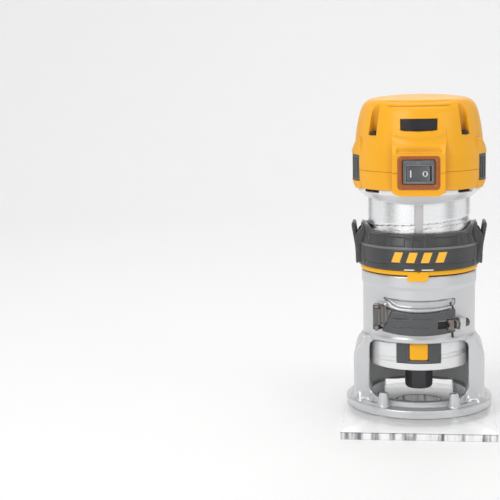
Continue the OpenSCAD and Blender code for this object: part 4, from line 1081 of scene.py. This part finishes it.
def tab_z(u, v):
    bottom = 95.75 + 2.1 * ss(u, 5.6, 9.4) ** 1.4 + 0.25 * (1 - ss(u, -10.6, -9.9))
    return bottom + (102.3 - bottom) * v


me2 = slab("tab", us, np.linspace(0, 1, 9), lambda u, v: ~((np.abs(u) < 0.9) & (v > 0.86)),
           lambda u, v: arc_pt(40.35 + 0 * u, u, tab_z(u, v)), lambda u, v: arc_pt(39.3 + 0 * u, u, tab_z(u, v)))
put("index_ring_look", join("index_ring_look", me, bevel(me2, 0.25, 2, 40)), M["yellow2"], "index_ring", ["index_ring"],
    34)


def tab_look(s, node):
    arm = [(40.1, 103.7), (41.6, 103.15), (42.35, 103.3), (42.65, 104.4), (42.75, 108), (42.85, 112.2), (43.4, 117.2),
           (44.4, 123), (45.35, 128.4), (45.5, 129.9), (45.1, 131.05), (44.2, 131.35), (43.3, 131.0), (42.75, 129.4),
           (41.95, 122), (41.05, 116.2), (40.1, 114)]
    parts = [bevel(prism("arm", [(s * a, b) for a, b in arm], "y", -9, 9, 1), 0.7, 3, 40)]
    parts.append(bevel(cyl("hub", 2.4, (s * 40.6, -9, 113), (s * 40.6, 9, 113), 40), 0.3, 2, 40))
    parts.append(cyl("pin", 1.4, (s * 34.95, 0, 106.6), (s * 41, 0, 106.6), 32))
    # finger ribs on the outer face
    for k in range(5):
        zz = 119.0 + 2.2 * k
        xx = np.interp(zz, [117.2, 123, 128.4], [43.4, 44.4, 45.35])
        parts.append(bevel(cyl("rib", 0.42, (s * (xx - 0.12), -7.2, zz), (s * (xx - 0.12), 7.2, zz), 20), 0.15, 2, 40))
    put(node + "_look", join(node + "_look", *parts), M["black"], node, [node], 40)


tab_look(1, "release_tab_right")
tab_look(-1, "release_tab_left")


# ------------------------------------------------------------------ base casting

def casting():
    parts = [cad_mesh("base_casting", 0)]

    def arc_wall(a0, a1, r0, r1, z0, z1, n=24):
        return slab("w", np.linspace(a0, a1, n), [z0, (z0 + z1) / 2, z1], lambda u, v: u > -999,
                    lambda u, v: arc_pt(r1 + 0 * u, u, v), lambda u, v: arc_pt(r0 + 0 * u, u, v))

    for s in (-1, 1):
        # foot of the leg, flaring on to the flange
        foot = [(s * 32.6, -24.6), (s * 40.5, -25.0), (s * 45.6, -19.5), (s * 46.4, 0), (s * 45.6, 19.5), (s * 40.5, 25.0), (s * 32.6, 24.6)]
        top = [(s * 33.0, -21.0), (s * 40.0, -21.2), (s * 43.8, -19.0), (s * 44, 0), (s * 43.8, 19.0), (s * 40.0, 21.2), (s * 33.0, 21.0)]
        if s < 0:
            foot, top = foot[::-1], top[::-1]
        n = len(foot)
        V = [(x, y, 9.0) for x, y in foot] + [(x, y, 10.8) for x, y in foot]
        mid = [((a[0] * 0.45 + b[0] * 0.55), (a[1] * 0.45 + b[1] * 0.55)) for a, b in zip(foot, top)]
        V += [(x, y, 12.6) for x, y in mid] + [(x, y, 16.5) for x, y in top] + [(x, y, 17.0) for x, y in top]
        F = [tuple(range(n))[::-1], tuple(range(4 * n, 5 * n))]
        for k in range(4):
            F += [(k * n + i, k * n + (i + 1) % n, (k + 1) * n + (i + 1) % n, (k + 1) * n + i) for i in range(n)]
        me = bpy.data.meshes.new("foot")
        me.from_pydata([tuple(c * MM for c in v) for v in V], [], F)
        parts.append(me)
        # ribs from the foot to the boss, and a web to the boss
        a, b = (33.5, 55.0)
        lo, hi = (a, b) if s > 0 else (-b, -a)
        parts.append(arc_wall(lo, hi, 37.4, 38.7, 9.6, 14.2))
        parts.append(arc_wall(min(s * 36, s * 62), max(s * 36, s * 62), 44.4, 45.6, 9.6, 12.0))
        parts.append(cyl("b", 4.4, (s * 23.3, -37, 9.6), (s * 23.3, -37, 20.0), 40, 2.8))
        # gusset between barrel and leg
        for y in (-1, 1):
            g = [(s * 33.4, 55.0), (s * 37.6, 55.0), (s * 39.6, 50.4), (s * 41.6, 47.6), (s * 33.8, 49.5)]
            parts.append(prism("g", g, "y", min(y * 14, y * 21.0), max(y * 14, y * 21.0), 0))
    # raised band that the lever presses on, above and below it
    def sag(u):
        return 1.6 * (u / 33.0) ** 2

    parts.append(slab("lip", np.linspace(-33.0, 34.0, 60), [0, 0.5, 1], lambda u, v: u > -999,
                      lambda u, v: arc_pt(38.95 + 0 * u, u, 74.2 + sag(u) + 2.5 * v),
                      lambda u, v: arc_pt(37.6 + 0 * u, u, 74.2 + sag(u) + 2.5 * v)))
    # slope from the sill down to the flange
    pr, pz, pi = [40.4, 40.4, 38.4, 34.4], [9.6, 10.6, 12.9, 13.75], [9.6, 10.6, 12.4, 12.9]
    parts.append(slab("slope", np.linspace(-136, 136, 150), [0, 1, 2, 3], lambda u, v: u > -999,
                      lambda u, v: arc_pt(np.interp(v, [0, 1, 2, 3], pr), u, np.interp(v, [0, 1, 2, 3], pz)),
                      lambda u, v: arc_pt(33.0 + 0 * u, u, np.interp(v, [0, 1, 2, 3], pi))))
    parts.append(arc_wall(-60.0, 60.0, 37.6, 38.75, 53.6, 56.6, 90))
    # low lip round the rim of the flange
    parts.append(arc_wall(-149.0, 149.0, 48.7, 49.7, 9.9, 10.75, 200))
    bm = bmesh.new()
    for m in parts:
        bm.from_mesh(m)
    bmesh.ops.remove_doubles(bm, verts=bm.verts, dist=1e-6)
    bmesh.ops.recalc_face_normals(bm, faces=bm.faces)
    me = bpy.data.meshes.new("base_casting_look")
    bm.to_mesh(me)
    bm.free()
    vox = 0.62
    me = through(me, ("REMESH", {"mode": "VOXEL", "voxel_size": vox * MM, "adaptivity": 0.0, "use_smooth_shade": True}),
                 ("SMOOTH", {"factor": 0.5, "iterations": 5}))
    tris = len(me.polygons) * 2
    print("casting", tris)
    if tris > 190000:
        me = through(me, ("DECIMATE", {"ratio": 185000.0 / tris, "use_collapse_triangulate": True}))
    return me


me = casting()
me.materials.clear()
cc = np.zeros(len(me.polygons) * 3)
me.polygons.foreach_get("center", cc)
cc = cc.reshape(-1, 3) / MM
nn = np.zeros(len(me.polygons) * 3)
me.polygons.foreach_get("normal", nn)
nn = nn.reshape(-1, 3)
inward = (nn[:, 0] * cc[:, 0] + nn[:, 1] * cc[:, 1]) < 0
# inward faces of the bore take the lighter, near-matte copy of the casting finish: painted light
bore = (np.hypot(cc[:, 0], cc[:, 1]) < 36.9) & (cc[:, 2] > 13.7) & (cc[:, 2] < 53.3) & inward
rr = np.hypot(cc[:, 0], cc[:, 1])
# up-facing faces of the front sill slope take the darker copy of the casting finish: painted shade
step = (rr > 36.6) & (rr < 40.9) & (cc[:, 2] > 9.9) & (cc[:, 2] < 13.6) & (cc[:, 1] < 0) & (nn[:, 2] > 0.25) & \
       (np.abs(np.degrees(np.arctan2(cc[:, 0], -cc[:, 1]))) < 40)
me.polygons.foreach_set("material_index", np.where(bore, 1, np.where(step, 2, 0)).astype(np.int32))
put("base_casting_look", me, [M["cast"], M["cast_in"], M["cast_shaded_step"]], "base", ["base_casting"], 60)

# clear sub-base
SOLE_SCREWS = [(23.3, -37), (-23.3, -37), (38.8, 14), (-38.8, 14)]
corner_a = math.degrees(math.atan2(50, 81))
sth = sorted(set([round(a, 5) for a in np.arange(-178, 182, 2.0)] + [-corner_a, corner_a]))
sth = np.array([a for a in sth if min(abs(a - corner_a), abs(a + corner_a)) < 1e-6 or
                min(abs(a - corner_a), abs(a + corner_a)) > 0.5])
sr = np.where(np.abs(sth) <= corner_a + 1e-9, 81.0 / np.maximum(np.cos(np.radians(sth)), 0.1),
              np.where(np.abs(sth) < 90, 50.0 / np.maximum(np.abs(np.sin(np.radians(sth))), 0.1), 50.0))
prof = [(-1, 16.8, 0.0), (0, 0.3, 0.0), (0, 0.08, 0.08), (0, 0.0, 0.3), (0, 0.0, 4.7), (0, 0.08, 4.92), (0, 0.3, 5.0),
        (-1, 16.8, 5.0), (-1, 16.58, 4.92), (-1, 16.5, 4.7), (-1, 16.5, 0.3), (-1, 16.58, 0.08)]
R = np.array([(0 * sth + q if k < 0 else sr - q) for k, q, _ in prof])
Z = np.array([0 * sth + q for _, _, q in prof])
me = field("sub_base_look", sth, R, Z, loop=True)
cutters = []
for px, py in SOLE_SCREWS:
    lt = np.arange(-180, 180, 11.25)
    lp = np.array([(3.6, -1.0), (3.6, 2.3), (1.9, 2.3), (1.9, 6.0)])
    c = field("c", lt, lp[:, :1] + 0 * lt[None, :], lp[:, 1:] + 0 * lt[None, :], pole0=True, pole1=True)
    c.transform(Matrix.Translation((px * MM, py * MM, 0)))
    cutters.append(c)
cut = bpy.data.objects.new("cut", join("cut", *cutters))
bpy.context.scene.collection.objects.link(cut)
me = through(me, ("BOOLEAN", {"operation": "DIFFERENCE", "solver": "EXACT", "object": cut}))
bpy.data.objects.remove(cut)
me.materials.clear()
nn = np.zeros(len(me.polygons) * 3)
me.polygons.foreach_get("normal", nn)
me.polygons.foreach_set("material_index", (np.abs(nn.reshape(-1, 3)[:, 2]) < 0.9).astype(np.int32))
sub = put("sub_base_look", me, [M["clear"], M["clear_edge"]], "base", ["sub_base"], 30)
sub.visible_shadow = False


# ------------------------------------------------------------------ clamp lever

def lever():
    us = steps((-36.0, 35.3, 1.0))
    x_slot0, x_slot1 = 12.4, 18.0
    u0 = math.degrees(math.asin(x_slot0 / 41.4))
    u1 = math.degrees(math.asin(x_slot1 / 41.4))
    us = np.array(sorted(set(list(np.round(us, 4)) + [u0, u1, -35.4, 34.7])))
    vs = np.array(sorted(set(list(np.round(steps((59.6, 76.6, 0.5)), 4)) + [62.5, 64.0, 69.0, 70.5, 64.7, 65.1, 70.6, 71.0])))

    def bow(u, v):
        # upper and lower edges sag in the middle; the slots keep their height
        xx = 42 * np.sin(np.radians(u))
        hi = 74.4 + 111 - np.sqrt(111.0 ** 2 - xx ** 2)
        lo = 59.5 + 162 - np.sqrt(162.0 ** 2 - xx ** 2)
        up_ = 71.2 + (v - 71.2) * (np.minimum(hi, 76.6) - 71.2) / (76.6 - 71.2)
        dn_ = 62.4 + (v - 62.4) * (62.4 - lo) / (62.4 - 59.6)
        return np.where(v > 71.2, up_, np.where(v < 62.4, dn_, v))

    def keep(u, v):
        return ~(((u > u0) & (v > 64.0) & (v < 69.0)) | ((u > u1) & (v > 62.5) & (v < 70.5)))

    def outp(u, v):
        left = ss(u, -27, -20)
        right = 1 - ss(u, 8, 15)
        rr = 42.25 + 0 * u
        for zg in (64.9, 70.8):
            deep = (0.75 - 0.35 * ss(u, -18, -8))
            rr = rr - deep * np.exp(-((v - zg) / 0.38) ** 2) * left * right
        rr = rr + 0.12 * band(v, 65.2, 70.5, 0.6) * left * right
        rr = rr - 0.35 * ss(np.abs(v - 68.1), 7.6, 8.5)
        rr = rr - 0.9 * ss(-u, 33.5, 36.2) - 0.5 * ss(u, 33.8, 35.4)
        return arc_pt(rr, u, bow(u, v))

    me = slab("lever", us, vs, keep, outp, lambda u, v: arc_pt(40.4 + 0 * u, u, bow(u, v)))
    me = bevel(me, 0.3, 2, 45)
    # dark sheet inside the lever behind its slot: painted shade in the slot
    slot_shade_sheet = slab("slot_shade_sheet", np.linspace(u0 - 1, 34.6, 12), [63.6, 66, 69.4], lambda u, v: u > -999,
                 lambda u, v: arc_pt(40.62 + 0 * u, u, v), lambda u, v: arc_pt(40.42 + 0 * u, u, v))
    px, py = -27.9, -32.2
    hub = bevel(cyl("hub", 2.6, (px, py, 65.2), (px, py, 76.6), 40), 0.3, 2, 40)
    arm = prism("arm", [(px + 0.4, py - 2.45), (px + 4.4, py - 2.25), (px + 5, py - 1), (px + 1.4, py + 1.6)], "z", 65.3, 76.5, 0)
    return join("clamp_lever_look", me, hub, bevel(arm, 0.3, 2, 40)), slot_shade_sheet


lever_me, lever_slot_shade = lever()
put("clamp_lever_look", lever_me, M["lever"], "clamp_lever", ["clamp_lever"], 40)
def leaf():
    us = np.array(steps((-37.2, -24.0, 0.3)))
    vs = np.array(steps((64.4, 78.3, 0.4)))

    def keep(u, v):
        edge = np.where(v < 76.2, -32.6 + (v - 65.0) * 0.72, -30.5)
        return (u < edge) & ~((u > -36.0) & (u < -34.6) & (v > 66.5) & (v < 67.6))

    def outp(u, v):
        wave = np.cos(np.radians((u + 35.2) * 95.0))
        return arc_pt(42.75 + 0.42 * wave * (1 - ss(u, -28.5, -27)) - 0.35 * ss(-u, 36.2, 37.2), u, v)

    return bevel(slab("leaf", us, vs, keep, outp, lambda u, v: arc_pt(42.15 + 0 * u, u, v)), 0.15, 2, 50)


put("hinge_leaf", leaf(), M["gunmetal"], "clamp_lever", (), 40)
# the dark sheet in the lever slot is painted shade
put("lever_slot_shade_sheet", lever_slot_shade, M["inside"], "clamp_lever", (), 40)

round_copy("clamp_bracket", 0.28, M["bronze"])
CLAMP_R = 41.0
SA = rad(41.5)
sx0, sy0 = CLAMP_R * math.sin(SA), -CLAMP_R * math.cos(SA)
dx, dy = math.cos(SA), math.sin(SA)
nut_pts = []
for t0, t1 in ((-5.3, -2.75),):
    me = cyl("clamp_nut", 3.3, (sx0 + dx * t0, sy0 + dy * t0, 66.5), (sx0 + dx * t1, sy0 + dy * t1, 66.5), 6)
    ring_w = cyl("washer", 3.5, (sx0 + dx * -2.8, sy0 + dy * -2.8, 66.5), (sx0 + dx * -2.55, sy0 + dy * -2.55, 66.5), 40)
    put("clamp_nut", join("clamp_nut", bevel(me, 0.3, 2, 40), ring_w), M["gunmetal"], "base", (), 35)
round_copy("clamp_screw", 0.25, M["bronze"])
round_copy("clamp_barrel", 0.4, M["bronze_light"])
round_copy("speed_dial", 0.22, M["dark"])
round_copy("cord_inlet", 0.5, M["rubber"])


# ------------------------------------------------------------------ stage, camera, light

def stage_bowl():
    pts = [(0.0, 0.0), (0.3, 0.0), (0.7, 0.0), (1.1, 0.0)]
    for k in range(1, 17):
        a = rad(90 * k / 16)
        pts.append((1.1 + 0.9 * math.sin(a), 0.9 * (1 - math.cos(a))))
    pts += [(2.0, 1.3), (2.0, 1.8)]
    n = 96
    V, F = [(0, 0, 0)], []
    for r_, z_ in pts[1:]:
        for j in range(n):
            a = 2 * math.pi * j / n
            V.append((r_ * math.cos(a), r_ * math.sin(a), z_))
    for j in range(n):
        F.append((0, 1 + j, 1 + (j + 1) % n))
    for i in range(len(pts) - 2):
        for j in range(n):
            a, b = 1 + i * n + j, 1 + i * n + (j + 1) % n
            F.append((a, a + n, b + n, b))
    me = bpy.data.meshes.new("stage")
    me.from_pydata(V, [], F)
    me.polygons.foreach_set("use_smooth", np.ones(len(me.polygons), bool))
    m = bpy.data.materials.new("paper_white")
    m.use_nodes = True
    b = m.node_tree.nodes["Principled BSDF"]
    b.inputs["Base Color"].default_value = (0.90, 0.90, 0.90, 1)
    b.inputs["Roughness"].default_value = 0.9
    b.inputs["Specular IOR Level"].default_value = 0.1
    me.materials.append(m)
    ob = bpy.data.objects.new("stage", me)
    ob.location.z = -0.0004
    bpy.context.scene.collection.objects.link(ob)


def flag(name, az, dist, w, h, z, grey):
    """Grey card out of the camera's sight that the polished can mirrors."""
    a = rad(az)
    me = bpy.data.meshes.new(name)
    me.from_pydata([(-w / 2, 0, -h / 2), (w / 2, 0, -h / 2), (w / 2, 0, h / 2), (-w / 2, 0, h / 2)], [], [(0, 1, 2, 3)])
    m = bpy.data.materials.new(name)
    m.use_nodes = True
    b = m.node_tree.nodes["Principled BSDF"]
    n, l = m.node_tree.nodes, m.node_tree.links
    tc = n.new("ShaderNodeTexCoord")
    sx = n.new("ShaderNodeSeparateXYZ")
    ab = n.new("ShaderNodeMath")
    ab.operation = "ABSOLUTE"
    mr = n.new("ShaderNodeMapRange")
    mr.interpolation_type = "SMOOTHSTEP"
    mr.inputs["From Max"].default_value = w / 2
    mr.inputs["To Min"].default_value = grey
    mr.inputs["To Max"].default_value = 0.85
    l.new(tc.outputs["Object"], sx.inputs["Vector"])
    l.new(sx.outputs["X"], ab.inputs[0])
    l.new(ab.outputs["Value"], mr.inputs["Value"])
    l.new(mr.outputs["Result"], b.inputs["Base Color"])
    b.inputs["Roughness"].default_value = 0.9
    b.inputs["Specular IOR Level"].default_value = 0.0
    me.materials.append(m)
    ob = bpy.data.objects.new(name, me)
    ob.location = (dist * math.sin(a), -dist * math.cos(a), z)
    ob.rotation_euler = (0, 0, a)
    ob.visible_camera = False
    ob.visible_diffuse = False
    ob.visible_shadow = False
    ob.visible_transmission = False
    bpy.context.scene.collection.objects.link(ob)


stage_bowl()
flag("flag_left", -66, 0.9, 0.60, 1.3, 0.6, 0.22)
flag("flag_front", -4, 1.4, 0.50, 1.6, 0.75, 0.50)
flag("flag_right", 72, 0.9, 0.60, 1.3, 0.6, 0.22)
flag("flag_back_left", -140, 0.9, 0.5, 1.3, 0.6, 0.25)
flag("flag_back_right", 140, 0.9, 0.5, 1.3, 0.6, 0.25)

world = bpy.data.worlds.new("studio")
bpy.context.scene.world = world
world.use_nodes = True
bg = world.node_tree.nodes["Background"]
bg.inputs["Color"].default_value = (1.0, 1.0, 1.0, 1)
bg.inputs["Strength"].default_value = 0.42


def area(name, loc, target, size, power, size_y=None):
    li = bpy.data.lights.new(name, "AREA")
    li.energy = power
    li.size = size
    if size_y:
        li.shape = "RECTANGLE"
        li.size_y = size_y
    ob = bpy.data.objects.new(name, li)
    ob.location = loc
    ob.rotation_mode = "QUATERNION"
    ob.rotation_quaternion = (Vector(target) - Vector(loc)).to_track_quat("-Z", "Y")
    bpy.context.scene.collection.objects.link(ob)
    return ob


area("overhead", (0.0, -0.1, 1.7), (0, 0, 0.1), 1.5, 12.5)
area("key", (-0.9, -1.3, 1.0), (0, 0, 0.12), 0.8, 8.2)
area("fill", (1.2, -0.9, 0.7), (0, 0, 0.12), 0.6, 1.6)
area("rear", (0.0, 1.5, 1.3), (0, 0, 0.1), 1.0, 4.5)

sc = bpy.context.scene
cd = bpy.data.cameras.new("camera")
cam = bpy.data.objects.new("camera", cd)
sc.collection.objects.link(cam)
sc.camera = cam
cd.sensor_width = 36
cd.lens = 94.879
cd.clip_start, cd.clip_end = 0.01, 20
fw = Vector((-0.12704264, 0.98060985, -0.14921293)).normalized()
yaw = math.atan2(-fw.x, fw.y)
rt = Vector((math.cos(yaw), math.sin(yaw), 0))
up = rt.cross(fw)
rl = rad(-1.10855)
r2 = rt * math.cos(rl) + up * math.sin(rl)
u2 = -rt * math.sin(rl) + up * math.cos(rl)
mw = Matrix(((r2.x, u2.x, -fw.x, 0), (r2.y, u2.y, -fw.y, -0.9), (r2.z, u2.z, -fw.z, 0.2478), (0, 0, 0, 1)))
cam.matrix_world = mw
sc.view_settings.view_transform = "Standard"
sc.view_settings.look = "None"
sc.view_settings.exposure = 0.0
